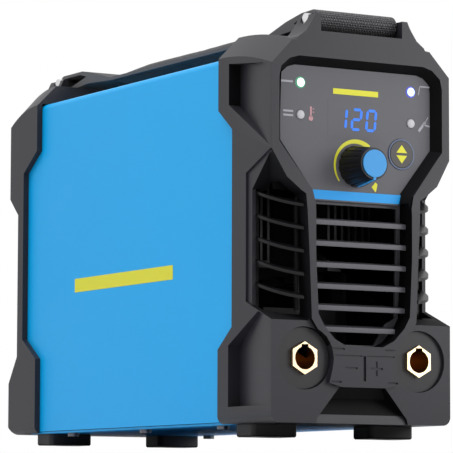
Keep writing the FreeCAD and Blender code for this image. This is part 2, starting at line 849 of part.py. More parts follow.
def rear_frame():
    profile = [
        ("rear_start", "0"),
        ("length - bottom_round", "0"),
        ("length", "bottom_round"),
        ("length", "rear_cut_bottom - rear_slope - 6"),
        ("length - rear_cut", "rear_cut_bottom"),
        ("length - rear_cut", "rear_cut_top"),
        ("length", "rear_cut_top + rear_slope"),
        ("length", "frame_height", top_arc("rear_depth")),
        ("rear_start", "frame_height + crown"),
    ]
    block = chamfered_block("rear_block", profile)
    solid = fuse("rear_solid", [block] + ears("rear_ear", "length - ear_length", "length"))
    tools = [
        prism("rear_rebate", "XZ", [rectangle("-(cover_half + gap)", "cover_half + gap",
                                              "-1", "cover_top + gap")], "rear_start - 1", "rear_ledge"),
        prism("rear_opening", "XZ", [rectangle("-opening_half", "opening_half", "opening_floor",
                                               "opening_top")],
              "rear_start - 1", "length + 1"),
    ]
    # The flanks stand back in the middle, where the cover runs further under them.
    step = [
        ("rear_start - 1", "rear_step_bottom"),
        ("rear_start", "rear_step_bottom"),
        ("rear_step_back", "rear_step_low"),
        ("rear_step_back", "rear_step_high"),
        ("rear_start", "rear_step_top"),
        ("rear_start - 1", "rear_step_top"),
    ]
    lap = rectangle("rear_ledge - 0.1", "rear_step_back + rear_lap + gap", "rear_step_low - rear_lap - gap",
                    "rear_step_high + rear_lap + gap")
    inside = "cover_half - sheet - gap"
    tools.append(prism("rear_step_right", "YZ", [step], inside, "half_width + 1"))
    tools.append(prism("rear_step_left", "YZ", [step], "-(half_width + 1)", f"-({inside})"))
    tools.append(prism("rear_lap_right", "YZ", [lap], inside, "cover_half + gap"))
    tools.append(prism("rear_lap_left", "YZ", [lap], "-(cover_half + gap)", f"-({inside})"))
    for side, word in ((1, "right"), (-1, "left")):
        tools.append(rod(f"rear_bar_hole_{word}", "x", "bar_radius + gap / 2",
                         "-ear_inner - 12" if side < 0 else
                         "ear_inner - 1", "-ear_inner + 1" if side < 0 else "ear_inner + 12",
                         "bar_rear", "bar_height"))
    for name, x, z in panel_corners():
        tools.append(rod(f"ledge_hole_{name}", "y", "screw_shank + gap / 2", "rear_ledge - 1",
                         "rear_ledge + 9", x, z))
    keep(cut("rear_frame", solid, tools))


def panel_corners():
    # Where the rear panel is screwed to the ledge of the rear moulding.
    places = []
    for side, word in ((1, "right"), (-1, "left")):
        places.append((f"low_{word}", f"{side} * (opening_half + 4.5)", "opening_floor + 8"))
        places.append((f"high_{word}", f"{side} * (opening_half + 4.5)", "opening_top - 8"))
    return places


def sheet_metal():
    inner = "(cover_bend - sheet)"
    outline = [
        ("cover_half - cover_flange", "cover_bottom"),
        ("cover_half", "cover_bottom"),
        ("cover_half", "cover_top - cover_bend", "cover_bend"),
        ("cover_half - cover_bend", "cover_top"),
        ("-(cover_half - cover_bend)", "cover_top", "cover_bend"),
        ("-cover_half", "cover_top - cover_bend"),
        ("-cover_half", "cover_bottom"),
        ("-(cover_half - cover_flange)", "cover_bottom"),
        ("-(cover_half - cover_flange)", "cover_bottom + sheet"),
        ("-(cover_half - sheet)", "cover_bottom + sheet"),
        ("-(cover_half - sheet)", "cover_top - cover_bend", f"-{inner}"),
        ("-(cover_half - cover_bend)", "cover_top - sheet"),
        ("cover_half - cover_bend", "cover_top - sheet", f"-{inner}"),
        ("cover_half - sheet", "cover_top - cover_bend"),
        ("cover_half - sheet", "cover_bottom + sheet"),
        ("cover_half - cover_flange", "cover_bottom + sheet"),
    ]
    folded = prism("cover_sheet", "XZ", [outline], "rim_start + gap", "rear_panel_face")
    tongue = [
        ("rim_start + gap + 0.1", "heel_top + 2.6"),
        ("rim_start - tongue_reach", "heel_shoulder + 1.2"),
        ("rim_start - tongue_reach", "notch_shoulder - 1.2"),
        ("rim_start + gap + 0.1", "notch_top - 2.6"),
    ]
    right = prism("right_tongue", "YZ", [tongue], "cover_half - sheet", "cover_half")
    left = prism("left_tongue", "YZ", [tongue], "-cover_half", "-(cover_half - sheet)")
    lap = rectangle("rear_panel_face - 0.1", "rear_step_back + rear_lap", "rear_step_low - rear_lap",
                    "rear_step_high + rear_lap")
    rear_right = prism("right_lap", "YZ", [lap], "cover_half - sheet", "cover_half")
    rear_left = prism("left_lap", "YZ", [lap], "-cover_half", "-(cover_half - sheet)")
    screws = tray_screws()
    holes = [rod(f"flange_hole_{name}", "z", "screw_shank + gap / 2", "0", "6", x, y) for name, x,
             y in screws]
    keep(cut("cover", fuse("cover_folded", [folded, right, left, rear_right, rear_left]), holes))

    tray_half = "(cover_half - sheet)"
    plate = box("tray_plate", f"-{tray_half}", tray_half, "rim_start + gap", "rear_panel_front - gap",
                "0", "tray_sheet")
    lip_half = "(cover_half - cover_flange - gap)"
    lip = box("tray_front_lip", f"-{lip_half}", lip_half, "rim_start + gap",
              "rim_start + gap + tray_sheet", "0", "tray_lip")
    back = box("tray_back_lip", f"-{lip_half}", lip_half, "rear_panel_front - gap - tray_sheet",
               "rear_panel_front - gap", "0", "tray_lip")
    holes = [rod(f"tray_hole_{name}", "z", "screw_shank + gap / 2", "-1", "tray_sheet + 1", x, y)
             for name, x, y in screws]
    for side, word in ((1, "right"), (-1, "left")):
        holes.append(rod(f"tray_foot_hole_{word}", "z", "foot_screw_radius + gap / 2", "-1", "tray_sheet + 1",
                         f"{side} * foot_x", "length - foot_y"))
    keep(cut("base_tray", fuse("tray_folded", [plate, lip, back]), holes))

    heads = []
    for name, x, y in screws:
        head = rod(f"cover_head_{name}", "z", "screw_head", "-head_height", "0", x, y)
        shank = rod(f"cover_shank_{name}", "z", "screw_shank", "-0.5", "5", x, y)
        heads.append(fuse(f"cover_screw_{name}", [head, shank]))
    keep(group("cover_screws", heads))


def tray_screws():
    places = []
    for side, word in ((1, "right"), (-1, "left")):
        for number, y in enumerate(("front_depth + 12", "length / 2", "length - foot_y - 31")):
            places.append((f"{word}_{number}", f"{side} * (cover_half - cover_flange / 2)", y))
    return places


def feet():
    screws = []
    for side, word in ((1, "right"), (-1, "left")):
        for end, y in (("front", "foot_y"), ("rear", "length - foot_y")):
            name = f"foot_{end}_{word}"
            x = f"{side} * foot_x"
            pad = doc.addObject("PartDesign::Body", name + "_rubber")
            extrude(pad, name + "_block", "XY", [rounded("0", "0", "foot_length / 2", "foot_width / 2", "3")],
                    "-foot_height", "0")
            dress(pad, "PartDesign::Chamfer", name + "_edge", "0.8",
                  lambda edge: across(edge, lambda spot: spot.z < -value("foot_height") + 0.01))
            bind(pad, "Placement.Base.x", x)
            bind(pad, "Placement.Base.y", f"{y} + origin_y")
            bind(pad, "Placement.Base.z", "foot_height")
            sink = rod(name + "_sink", "z", "foot_head_radius + 0.6", "-foot_height - 1",
                       "foot_sink - foot_height",
                       x, y)
            hole = rod(name + "_hole", "z", "foot_screw_radius + gap / 2", "-foot_height - 1", "1", x, y)
            keep(cut(name, pad, [sink, hole]))
            top = "5.5" if end == "rear" else "6.5"
            head = rod(name + "_head", "z", "foot_head_radius", "foot_sink - foot_height - foot_head_height",
                       "foot_sink - foot_height", x, y)
            shank = rod(name + "_shank", "z", "foot_screw_radius", "foot_sink - foot_height - 1", top, x, y)
            screws.append(fuse(name + "_screw", [head, shank]))
    keep(group("foot_screws", screws))


def control_panel():
    # The panel is the recess's own outline, cut off at its face, so its edge follows the draft.
    body = prism("panel_wedge", "XZ", [recess_outline("gap")], "0", "panel_back", draft="recess_draft")
    slab = box("panel_slab", "-half_width", "half_width", "recess_depth", "panel_back", "panel_floor",
               "recess_top")
    plate = common("panel_plate", [body, slab])
    holes = [
        rod("bush_hole", "y", "bush_radius + gap / 2", "0", "panel_back + 1", "0", "dial_level"),
        rod("button_hole", "y", "button_radius + ring_width + gap / 2", "0", "panel_back + 1",
            "button_x", "button_level"),
        box("display_hole", "-display_half - gap / 2", "display_half + gap / 2", "0", "panel_back + 1",
            "display_level - display_height / 2 - gap / 2", "display_level + display_height / 2 + gap / 2"),
    ]
    lamps = (("power_lamp", -1, "lamp_high"), ("fault_lamp", -1, "lamp_low"),
             ("stick_lamp", 1, "lamp_high"), ("lift_lamp", 1, "lamp_low"))
    for name, side, level in lamps:
        x = f"{side} * lamp_x"
        holes.append(rod(f"{name}_hole", "y", "lamp_radius + gap / 2", "0", "panel_back + 1", x, level))
        lens = rod(f"{name}_lens", "y", "lamp_radius", "recess_depth - 0.5", "board_face - gap", x, level)
        keep(lens, name)
    keep(cut("control_panel", plate, holes))
    keep(box("display_lens", "-display_half", "display_half", "recess_depth", "panel_back",
             "display_level - display_height / 2", "display_level + display_height / 2"))
    keep(box("display_module", "-display_half - 2", "display_half + 2", "panel_back + gap",
             "board_face - gap",
             "display_level - display_height / 2 - 1.5", "display_level + display_height / 2 + 1.5"))

    board = box("board_blank", "-board_half", "board_half", "board_face", "board_face + board_thick",
                "window_floor - 3", "window_top + 3")
    corners = [(f"{word}_{level}", f"{side} * post_x", height) for side, word in ((1, "right"), (-1, "left"))
               for level, height in (("low", "window_floor + 2"), ("high", "window_top - 3"))]
    drilled = [rod(f"board_hole_{name}", "y", "screw_shank + gap / 2", "board_face - 1",
                   "board_face + board_thick + 1", x, z) for name, x, z in corners]
    switch = rod("button_switch", "y", "3.2", "board_face - 1.5", "board_face + 0.1", "button_x",
                 "button_level")
    keep(fuse("control_board", [cut("board_drilled", board, drilled), switch]))
    screws = []
    for name, x, z in corners:
        head = rod(f"board_head_{name}", "y", "post_radius", "board_face + board_thick",
                   "board_face + board_thick + head_height", x, z)
        shank = rod(f"board_shank_{name}", "y", "screw_shank - gap / 2", "board_face - 5",
                    "board_face + board_thick + 0.5", x, z)
        screws.append(fuse(f"board_screw_{name}", [head, shank]))
    return screws


def dial():
    cone = doc.addObject("Part::Cone", "knob_cone")
    cone.Placement.Rotation = FreeCAD.Rotation(FreeCAD.Vector(1, 0, 0), 90)
    bind(cone, "Radius1", "knob_radius")
    bind(cone, "Radius2", "knob_tip_radius")
    bind(cone, "Height", "knob_length")
    bind(cone, "Placement.Base.y", "knob_base + origin_y")
    bind(cone, "Placement.Base.z", "dial_level + foot_height")
    # Shallow flutes down the cone, short of its rim; the pointer takes the place of the lowest.
    flutes = []
    count = int(value("knob_flutes"))
    slope = math.atan(value("(knob_radius - knob_tip_radius) / knob_length"))
    start = "(knob_tip_radius + (knob_radius - knob_tip_radius) * knob_rim / knob_length)"
    for number in range(count):
        turn = 360.0 * number / count + 90
        if abs(turn - 270) < 1:
            continue
        outward = FreeCAD.Vector(math.cos(math.radians(turn)), 0, math.sin(math.radians(turn)))
        way = outward * math.sin(slope) + FreeCAD.Vector(0, math.cos(slope), 0)
        flute = doc.addObject("Part::Cylinder", f"knob_flute_{number}")
        flute.Placement.Rotation = FreeCAD.Rotation(FreeCAD.Vector(0, 0, 1), way)
        away = f"({start} + flute_radius - flute_depth)"
        bind(flute, "Radius", "flute_radius")
        bind(flute, "Height", "knob_length + 2")
        bind(flute, "Placement.Base.x", f"{away} * cos({turn})")
        bind(flute, "Placement.Base.y", "knob_tip + knob_rim + origin_y")
        bind(flute, "Placement.Base.z", f"dial_level + foot_height + {away} * sin({turn})")
        flutes.append(flute)
    tools = [
        rod("knob_bore", "y", "shaft_radius + running", "knob_tip + 4", "knob_base + 1", "0", "dial_level"),
        rod("cap_seat", "y", "cap_radius + running", "knob_tip - 1", "knob_tip + cap_thick - cap_proud",
            "0", "dial_level"),
        box("pointer_slot", "-pointer_width / 2 - running", "pointer_width / 2 + running", "knob_tip - 1",
            "knob_base - 1", "dial_level - knob_radius - 2", "dial_level - knob_tip_radius + 1.4"),
    ]
    keep(cut("knob", cone, flutes + tools))
    disc = rod("cap_disc", "y", "cap_radius", "knob_tip - cap_proud",
               "knob_tip + cap_thick - cap_proud - gap / 2",
               "0", "dial_level")
    pointer = prism("cap_pointer", "YZ", [[
        ("knob_tip - cap_proud + 0.4", "dial_level - cap_radius + 1"),
        ("knob_tip - cap_proud + 0.4", "dial_level - knob_tip_radius - 0.3"),
        ("knob_base - 1 - gap", "dial_level - knob_radius + 0.1"),
        ("knob_base - 1 - gap", "dial_level - knob_tip_radius + 1.3"),
        ("knob_tip + 1", "dial_level - knob_tip_radius + 1.3"),
        ("knob_tip + 1", "dial_level - cap_radius + 1"),
    ]], "-pointer_width / 2", "pointer_width / 2")
    keep(fuse("knob_cap", [disc, pointer]))
    keep(rod("dial_shaft", "y", "shaft_radius", "knob_tip + 4 + gap", "board_face - 3", "0", "dial_level"))
    case = box("encoder_case", "-encoder_size / 2", "encoder_size / 2", "board_face - encoder_depth",
               "board_face",
               "dial_level - encoder_size / 2", "dial_level + encoder_size / 2")
    bush = rod("encoder_bush", "y", "bush_radius", "recess_depth", "board_face - 2", "0", "dial_level")
    bore = rod("encoder_bore", "y", "shaft_radius + running", "0", "board_face - 3 + gap", "0", "dial_level")
    keep(cut("dial_encoder", fuse("encoder_solid", [case, bush]), [bore]))


def mode_button():
    face = "(recess_depth - 0.8)"
    disc = rod("button_disc", "y", "button_radius - gap / 2", face, "panel_back + 0.6", "button_x",
               "button_level")
    stem = rod("button_stem", "y", "2.6", "panel_back", "board_face - 1.5 - button_travel - gap", "button_x",
               "button_level")
    keep(fuse("mode_button", [disc, stem]))
    outer = rod("ring_outer", "y", "button_radius + ring_width", "recess_depth - 0.6", "panel_back",
                "button_x",
                "button_level")
    inner = rod("ring_inner", "y", "button_radius", "0", "panel_back + 1", "button_x", "button_level")
    keep(cut("button_ring", outer, [inner]))


def front_grille():
    plate_front = "(front_wall + gap)"
    plate_back = "(front_wall + gap + grille_plate)"
    outline = mirrored([
        ("channel_half - 12.3", "channel_floor - 3.4"),
        ("channel_half - 6.3", "channel_floor + 3.6"),
        ("channel_half + 3.7", "channel_floor + 14.6"),
        ("channel_half + 3.7", "channel_top + 1"),
    ])
    window = mirrored([
        ("channel_half - 18", "channel_floor + 1.6"),
        ("channel_half - 10", "channel_floor + 14.2"),
        ("channel_half - 3.5", "channel_floor + 17.6"),
        ("channel_half - 2", "channel_top - 2.6"),
    ])
    plate = prism("grille_plate_body", "XZ", [outline, window], plate_front, plate_back)
    parts = [plate]
    for number in range(int(value("slat_count"))):
        level = f"(slat_first + {number} * slat_pitch)"
        # The lowest slats are shorter, where the channel narrows.
        trim = {0: "8.4", 1: "1.5", 2: "1.3"}.get(number, "0.7")
        rise = f"({plate_back} - slat_front) * tan(slat_tilt)"
        outline = [
            ("slat_front", level),
            ("slat_front", f"{level} + slat_thick"),
            (plate_back, f"{level} + slat_thick + {rise}"),
            (plate_back, f"{level} + slat_thick / 2 + {rise}"),
        ]
        half = f"(channel_half - {trim})"
        parts.append(prism(f"slat_{number}", "YZ", [outline], f"-{half}", half))
    keep(fuse("front_grille", parts))


def corner_louvres(side, word):
    # Blades sloping down to the front, bowed outwards round the corner from the pillar to the strip.
    plan = flipped([
        ("louvre_inner", "blade_setback", f"{side} * blade_curve"),
        ("louvre_outer", "strip_front"),
        ("louvre_outer", "strip_front + blade_depth", f"{-side} * blade_curve"),
        ("louvre_inner", "blade_setback + blade_depth"),
    ], side)
    footprint = prism(f"blade_plan_{word}", "XY", [plan], "block_top", "hood_back - gap")
    low, high = ("louvre_inner", "louvre_outer") if side > 0 else ("-louvre_outer", "-louvre_inner")
    slabs = []
    for number in range(int(value("blade_count"))):
        level = f"(blade_first + {number} * blade_pitch)"
        outline = [
            ("0", level),
            ("front_depth", f"{level} + front_depth * tan(blade_tilt)"),
            ("front_depth", f"{level} + blade_thick + front_depth * tan(blade_tilt)"),
            ("0", f"{level} + blade_thick"),
        ]
        slabs.append(prism(f"blade_{word}_{number}", "YZ", [outline], low, high))
    blades = common(f"blades_{word}", [footprint, fuse(f"slabs_{word}", slabs)])
    edge = side_box(f"louvre_post_{word}", side, "louvre_outer - 3", "louvre_outer", "strip_front + 2",
                    "strip_front + blade_depth", "block_top + 5.3", "hood_back - gap")
    near = side_box(f"louvre_rail_{word}", side, "louvre_inner", "louvre_inner + 1.6",
                    "blade_setback + blade_depth - 2.5", "blade_setback + blade_depth", "block_top + 6",
                    "hood_tip - 26.2")
    keep(fuse(f"{word}_corner_louvres", [blades, edge, near]))


def sockets():
    nuts = []
    for side, word in ((-1, "negative"), (1, "positive")):
        x = f"{side} * socket_x"
        z = "socket_level"
        flange = rod(f"{word}_flange", "y", "collar_radius", "collar_face", "seat_depth", x, z)
        barrel = rod(f"{word}_barrel", "y", "barrel_radius", "collar_face", "barrel_end", x, z)
        hex_end = "(collar_face - socket_proud + socket_hex_length)"
        hex_hole = prism(f"{word}_hex_hole", "XZ", [hexagon(x, z, "socket_flats + gap")], "collar_face - 1",
                         f"{hex_end} + gap")
        shank_hole = rod(f"{word}_shank_hole", "y", "shank_radius + gap / 2", "collar_face",
                         "barrel_end + 1", x, z)
        collar = fuse(f"{word}_collar_solid", [flange, barrel])
        keep(cut(f"{word}_socket_collar", collar, [hex_hole, shank_hole]))

        start = "(collar_face - socket_proud)"
        end = f"({hex_end} + shank_length)"
        head = prism(f"{word}_hex", "XZ", [hexagon(x, z, "socket_flats")], start, hex_end)
        shank = rod(f"{word}_shank", "y", "shank_radius", hex_end, end, x, z)
        bore = rod(f"{word}_bore", "y", "socket_bore", f"{start} - 1", f"{start} + bore_depth", x, z)
        key = box(f"{word}_keyway", f"{x} - keyway_width / 2", f"{x} + keyway_width / 2", f"{start} - 1",
                  f"{start} + bore_depth", z, f"{z} + socket_bore + keyway_rise")
        keep(cut(f"{word}_socket", fuse(f"{word}_socket_solid", [head, shank]), [bore, key]))

        nut = prism(f"{word}_nut_hex", "XZ", [hexagon(x, z, "nut_flats")], "barrel_end + gap",
                    "barrel_end + gap + nut_thick")
        thread = rod(f"{word}_nut_thread", "y", "shank_radius + running", "barrel_end",
                     "barrel_end + nut_thick + 1", x, z)
        nuts.append(cut(f"{word}_nut", nut, [thread]))
        bar_front = "(barrel_end + nut_thick + 2 * gap)"
        strap = box(f"{word}_strap", f"{x} - busbar_width / 2", f"{x} + busbar_width / 2", bar_front,
                    f"{bar_front} + busbar_thick", "deck_top + gap", f"{z} + busbar_width / 2")
        run = box(f"{word}_run", f"{x} - busbar_width / 2", f"{x} + busbar_width / 2", bar_front,
                  f"{bar_front} + busbar_length", "deck_top + gap", "deck_top + gap + busbar_thick")
        hole = rod(f"{word}_bar_hole", "y", "shank_radius + gap / 2", "0", "front_depth", x, z)
        keep(cut(f"{word}_busbar", fuse(f"{word}_bar", [strap, run]), [hole]))
    keep(group("socket_nuts", nuts))


def deck():
    blank = box("deck_blank", "-deck_half", "deck_half", "deck_front", "deck_back", "deck_level", "deck_top")
    places = [(f"{word}_{number}", f"{side} * (deck_half - 12.5)", y) for side,
              word in ((1, "right"), (-1, "left"))
              for number, y in enumerate(("deck_front + 14", "(deck_front + deck_back) / 2",
                                          "deck_back - 6"))]
    holes = [rod(f"deck_hole_{name}", "z", "screw_shank + gap / 2", "deck_level - 1", "deck_top + 1", x, y)
             for name, x, y in places]
    keep(cut("main_board", blank, holes))
    spacers = [rod(f"spacer_{name}", "z", "spacer_radius", "tray_sheet + 0.1", "deck_level", x, y)
               for name, x, y in places]
    keep(group("board_spacers", spacers))
    screws = []
    for name, x, y in places:
        head = rod(f"deck_head_{name}", "z", "spacer_radius - 0.5", "deck_top", "deck_top + head_height", x,
                   y)
        shank = rod(f"deck_shank_{name}", "z", "screw_shank", "deck_level + 0.1", "deck_top + 0.5", x, y)
        screws.append(fuse(f"deck_screw_{name}", [head, shank]))
    return screws


def heat_sinks():
    tabs = []
    for side, word in ((1, "right"), (-1, "left")):
        parts = [side_box(f"{word}_sink_base", side, "sink_inner", "sink_outer", "sink_front", "sink_back",
                          "sink_level",
                          "sink_level + sink_base")]
        count = int(value("fin_count"))
        for number in range(count):
            near = f"(sink_inner + {number} * (sink_outer - sink_inner - fin_thick) / {count - 1})"
            parts.append(side_box(f"{word}_fin_{number}", side, near, f"{near} + fin_thick", "sink_front",
                                  "sink_back",
                                  "sink_level", "fin_top"))
        for end, y in (("front", "sink_front + 14"), ("back", "sink_back - 26")):
            parts.append(side_box(f"{word}_leg_{end}", side, "sink_outer - leg_thick - 8", "sink_outer - 8",
                                  y,
                                  f"{y} + 12", "deck_top", "sink_level + 1"))
        keep(fuse(f"{word}_heat_sink", parts))
        number = int(value("transistor_count"))
        for place in range(number):
            y = f"(sink_front + 34 + {place} * (sink_length - 68 - transistor_width) / {number - 1})"
            tabs.append(side_box(f"transistor_{word}_{place}", side, "sink_inner + 1",
                                 "sink_inner + 1 + transistor_length - 4", y, f"{y} + transistor_width",
                                 "sink_level - transistor_thick", "sink_level"))
    keep(group("power_transistors", tabs))


def wound_core(word, x, y, width, depth, height):
    # A ferrite core with two windows and a copper winding round its middle leg.
    base = "(deck_top + 0.2)"
    block = box(f"{word}_block", f"{x} - {width} / 2", f"{x} + {width} / 2", f"{y} - {depth} / 2",
                f"{y} + {depth} / 2", base, f"{base} + {height}")
    windows = []
    for side, end in ((1, "right"), (-1, "left")):
        near = "core_leg"
        far = f"({width} / 2 - core_leg)"
        first, last = (f"{x} + {near}", f"{x} + {far}") if side > 0 else (f"{x} - {far}", f"{x} - {near}")
        windows.append(box(f"{word}_window_{end}", first, last, f"{y} - {depth}", f"{y} + {depth}",
                           f"{base} + core_leg", f"{base} + {height} - core_leg"))
    keep(cut(f"{word}_core", block, windows))
    outer = rounded(x, y, f"({width} / 2 - core_leg - gap)", f"({depth} / 2 + winding_bulge)", "5")
    inner = rectangle(f"{x} - core_leg - gap", f"{x} + core_leg + gap", f"{y} - {depth} / 2 - gap",
                      f"{y} + {depth} / 2 + gap")
    keep(prism(f"{word}_winding", "XY", [outer, inner], f"{base} + core_leg + gap",
               f"{base} + {height} - core_leg - gap"))


def board_parts():
    cans = []
    for side, word in ((1, "right"), (-1, "left")):
        for number in range(2):
            cans.append(rod(f"can_{word}_{number}", "z", "capacitor_radius", "deck_top",
                            "deck_top + capacitor_height", f"{side} * capacitor_x",
                            f"capacitor_y + {number} * capacitor_pitch"))
    keep(group("bulk_capacitors", cans))
    keep(box("rectifier", "-rectifier_size / 2", "rectifier_size / 2", "rectifier_y - rectifier_size / 2",
             "rectifier_y + rectifier_size / 2", "deck_top", "deck_top + rectifier_height"))


def fan():
    frame = prism("fan_frame", "XZ", [rounded("0", "fan_level", "fan_size / 2", "fan_size / 2", "4")],
                  "fan_front", "fan_back")
    tools = [rod("fan_bore", "y", "fan_throat", "fan_front - 1", "fan_back + 1", "0", "fan_level")]
    for number, (right, up) in enumerate(((1, 1), (1, -1), (-1, 1), (-1, -1))):
        tools.append(rod(f"fan_corner_hole_{number}", "y", "screw_shank + gap / 2", "fan_front - 1",
                         "fan_back + 1", f"{right} * fan_holes", f"fan_level + {up} * fan_holes"))
    ring = cut("fan_ring", frame, tools)
    struts = [
        box("fan_strut_across", "-fan_throat - 1", "fan_throat + 1", "fan_front", "fan_front + 3",
            "fan_level - 1.5", "fan_level + 1.5"),
        box("fan_strut_up", "-1.5", "1.5", "fan_front", "fan_front + 3", "fan_level - fan_throat - 1",
            "fan_level + fan_throat + 1"),
        rod("fan_motor", "y", "motor_radius", "fan_front", "fan_front + 5", "0", "fan_level"),
    ]
    bearing = rod("fan_bearing", "y", "fan_pin_radius + running", "fan_front + 1", "fan_front + 6",
                  "0", "fan_level")
    keep(cut("fan_housing", fuse("fan_body", [ring] + struts), [bearing]))

    rotor = doc.addObject("PartDesign::Body", "fan_rotor")
    blade = [
        ("-9", "6.5"),
        ("-8", "6.5"),
        ("9", "21.5"),
        ("9", "22.5"),
        ("8", "22.5"),
        ("-9", "7.5"),
    ]
    extrude(rotor, "rotor_blade", "XY", [blade], "hub_radius - 3", "blade_reach")
    around = rotor.newObject("PartDesign::PolarPattern", "rotor_blades")
    around.Originals = [rotor.getObject("rotor_blade")]
    around.Axis = (next(part for part in rotor.Origin.OriginFeatures if part.Role == "Y_Axis"), [""])
    around.Angle = 360
    bind(around, "Occurrences", "fan_blades")
    rotor.Tip = around
    hub = attach(rotor, "rotor_hub_outline", "XZ", "6")
    hub.addGeometry(Part.Circle(FreeCAD.Vector(0, 0, 0), FreeCAD.Vector(0, 0, 1), value("hub_radius")))
    hub.addConstraint(Sketcher.Constraint("Coincident", 0, 3, -1, 1))
    hub.addConstraint(Sketcher.Constraint("Radius", 0, value("hub_radius")))
    hub.setExpression("Constraints[1]", bound("hub_radius"))
    drum = rotor.newObject("PartDesign::Pad", "rotor_hub")
    drum.Profile = hub
    drum.Reversed = True
    bind(drum, "Length", "fan_depth - 8")
    pin = attach(rotor, "rotor_pin_outline", "XZ", "1.3")
    pin.addGeometry(Part.Circle(FreeCAD.Vector(0, 0, 0), FreeCAD.Vector(0, 0, 1), value("fan_pin_radius")))
    pin.addConstraint(Sketcher.Constraint("Coincident", 0, 3, -1, 1))
    pin.addConstraint(Sketcher.Constraint("Radius", 0, value("fan_pin_radius")))
    pin.setExpression("Constraints[1]", bound("fan_pin_radius"))
    stub = rotor.newObject("PartDesign::Pad", "rotor_pin")
    stub.Profile = pin
    stub.Reversed = True
    bind(stub, "Length", "6")
    bind(rotor, "Placement.Base.y", "fan_front + origin_y")
    bind(rotor, "Placement.Base.z", "fan_level + foot_height")
    keep(rotor)


def rear_panel():
    blank = box("rear_blank", "-(cover_half - sheet - gap)", "cover_half - sheet - gap", "rear_panel_front",
                "rear_panel_face", "tray_sheet + gap + sheet + cover_bottom", "cover_top - sheet - gap - 3")
    behind = ("rear_panel_front - 1", "rear_panel_face + 1")
    holes = [rod("throat", "y", "fan_throat", *behind, "0", "fan_level"),
             rod("gland_panel_hole", "y", "gland_thread + gap / 2", *behind, "gland_x", "gland_level"),
             box("switch_cutout", "-switch_x - switch_width / 2 - 1.7", "-switch_x + switch_width / 2 + 1.7",
                 *behind, "switch_level - switch_height / 2 - 1.7", "switch_level + switch_height / 2 + 1.7")]
    for name, x, z in panel_corners() + fan_corners():
        holes.append(rod(f"rear_hole_{name}", "y", "screw_shank + gap / 2", *behind, x, z))
    keep(cut("rear_panel", blank, holes))
    screws = []
    for name, x, z in panel_corners():
        head = rod(f"rear_head_{name}", "y", "screw_head", "rear_panel_front - head_height",
                   "rear_panel_front", x, z)
        shank = rod(f"rear_shank_{name}", "y", "screw_shank", "rear_panel_front - 0.5", "rear_panel_face + 8",
                    x, z)
        screws.append(fuse(f"rear_screw_{name}", [head, shank]))
    keep(group("panel_screws", screws))
    screws = []
    for name, x, z in fan_corners():
        head = rod(f"fan_head_{name}", "y", "screw_head", "guard_face + 0.2",
                   "guard_face + 0.2 + head_height",
                   x, z)
        shank = rod(f"fan_shank_{name}", "y", "screw_shank", "fan_front + 2", "guard_face + 0.5", x, z)
        screws.append(fuse(f"fan_screw_{name}", [head, shank]))
    keep(group("fan_screws", screws))
    fan_guard()


def fan_corners():
    return [(f"fan_{number}", f"{right} * fan_holes", f"fan_level + {up} * fan_holes")
            for number, (right, up) in enumerate(((1, 1), (1, -1), (-1, 1), (-1, -1)))]


def fan_guard():
    # Wire rings on four bent spokes, each spoke ending in an eye under a screw.
    parts = []
    for number in range(int(value("guard_rings"))):
        ring = doc.addObject("Part::Torus", f"guard_ring_{number}")
        ring.Placement.Rotation = FreeCAD.Rotation(FreeCAD.Vector(1, 0, 0), 90)
        bind(ring, "Radius1", f"fan_throat - 1 - {number} * guard_step")
        bind(ring, "Radius2", "guard_wire")
        bind(ring, "Placement.Base.y", "guard_face - guard_wire + origin_y")
        bind(ring, "Placement.Base.z", "fan_level + foot_height")
        parts.append(ring)
    reach = "(fan_holes * sqrt(2) - screw_head - 0.4)"
    for number in range(4):
        turn = 45 + 90 * number
        spoke = doc.addObject("Part::Box", f"guard_spoke_{number}")
        spoke.Placement.Rotation = FreeCAD.Rotation(FreeCAD.Vector(0, 1, 0), -turn)
        bind(spoke, "Length", f"{reach} - guard_hub")
        bind(spoke, "Width", "2 * guard_wire - 0.4")
        bind(spoke, "Height", "2 * guard_wire")
        bind(spoke, "Placement.Base.x", f"guard_hub * cos({turn}) + guard_wire * sin({turn})")
        bind(spoke, "Placement.Base.y", "guard_face - 2 * guard_wire + 0.2 + origin_y")
        bind(spoke, "Placement.Base.z", f"fan_level + foot_height + guard_hub * sin({turn}) - "
                                        f"guard_wire * cos({turn})")
        parts.append(spoke)
    eyes = []
    for name, x, z in fan_corners():
        eye = rod(f"guard_eye_{name}", "y", "screw_head + 0.8", "guard_face - 2 * guard_wire + 0.2",
                  "guard_face - 0.2",
                  x, z)
        hole = rod(f"guard_eye_hole_{name}", "y", "screw_shank + gap / 2", "guard_face - 5",
                   "guard_face + 1", x, z)
        eyes.append(cut(f"guard_loop_{name}", eye, [hole]))
    keep(fuse("fan_guard", parts + eyes))


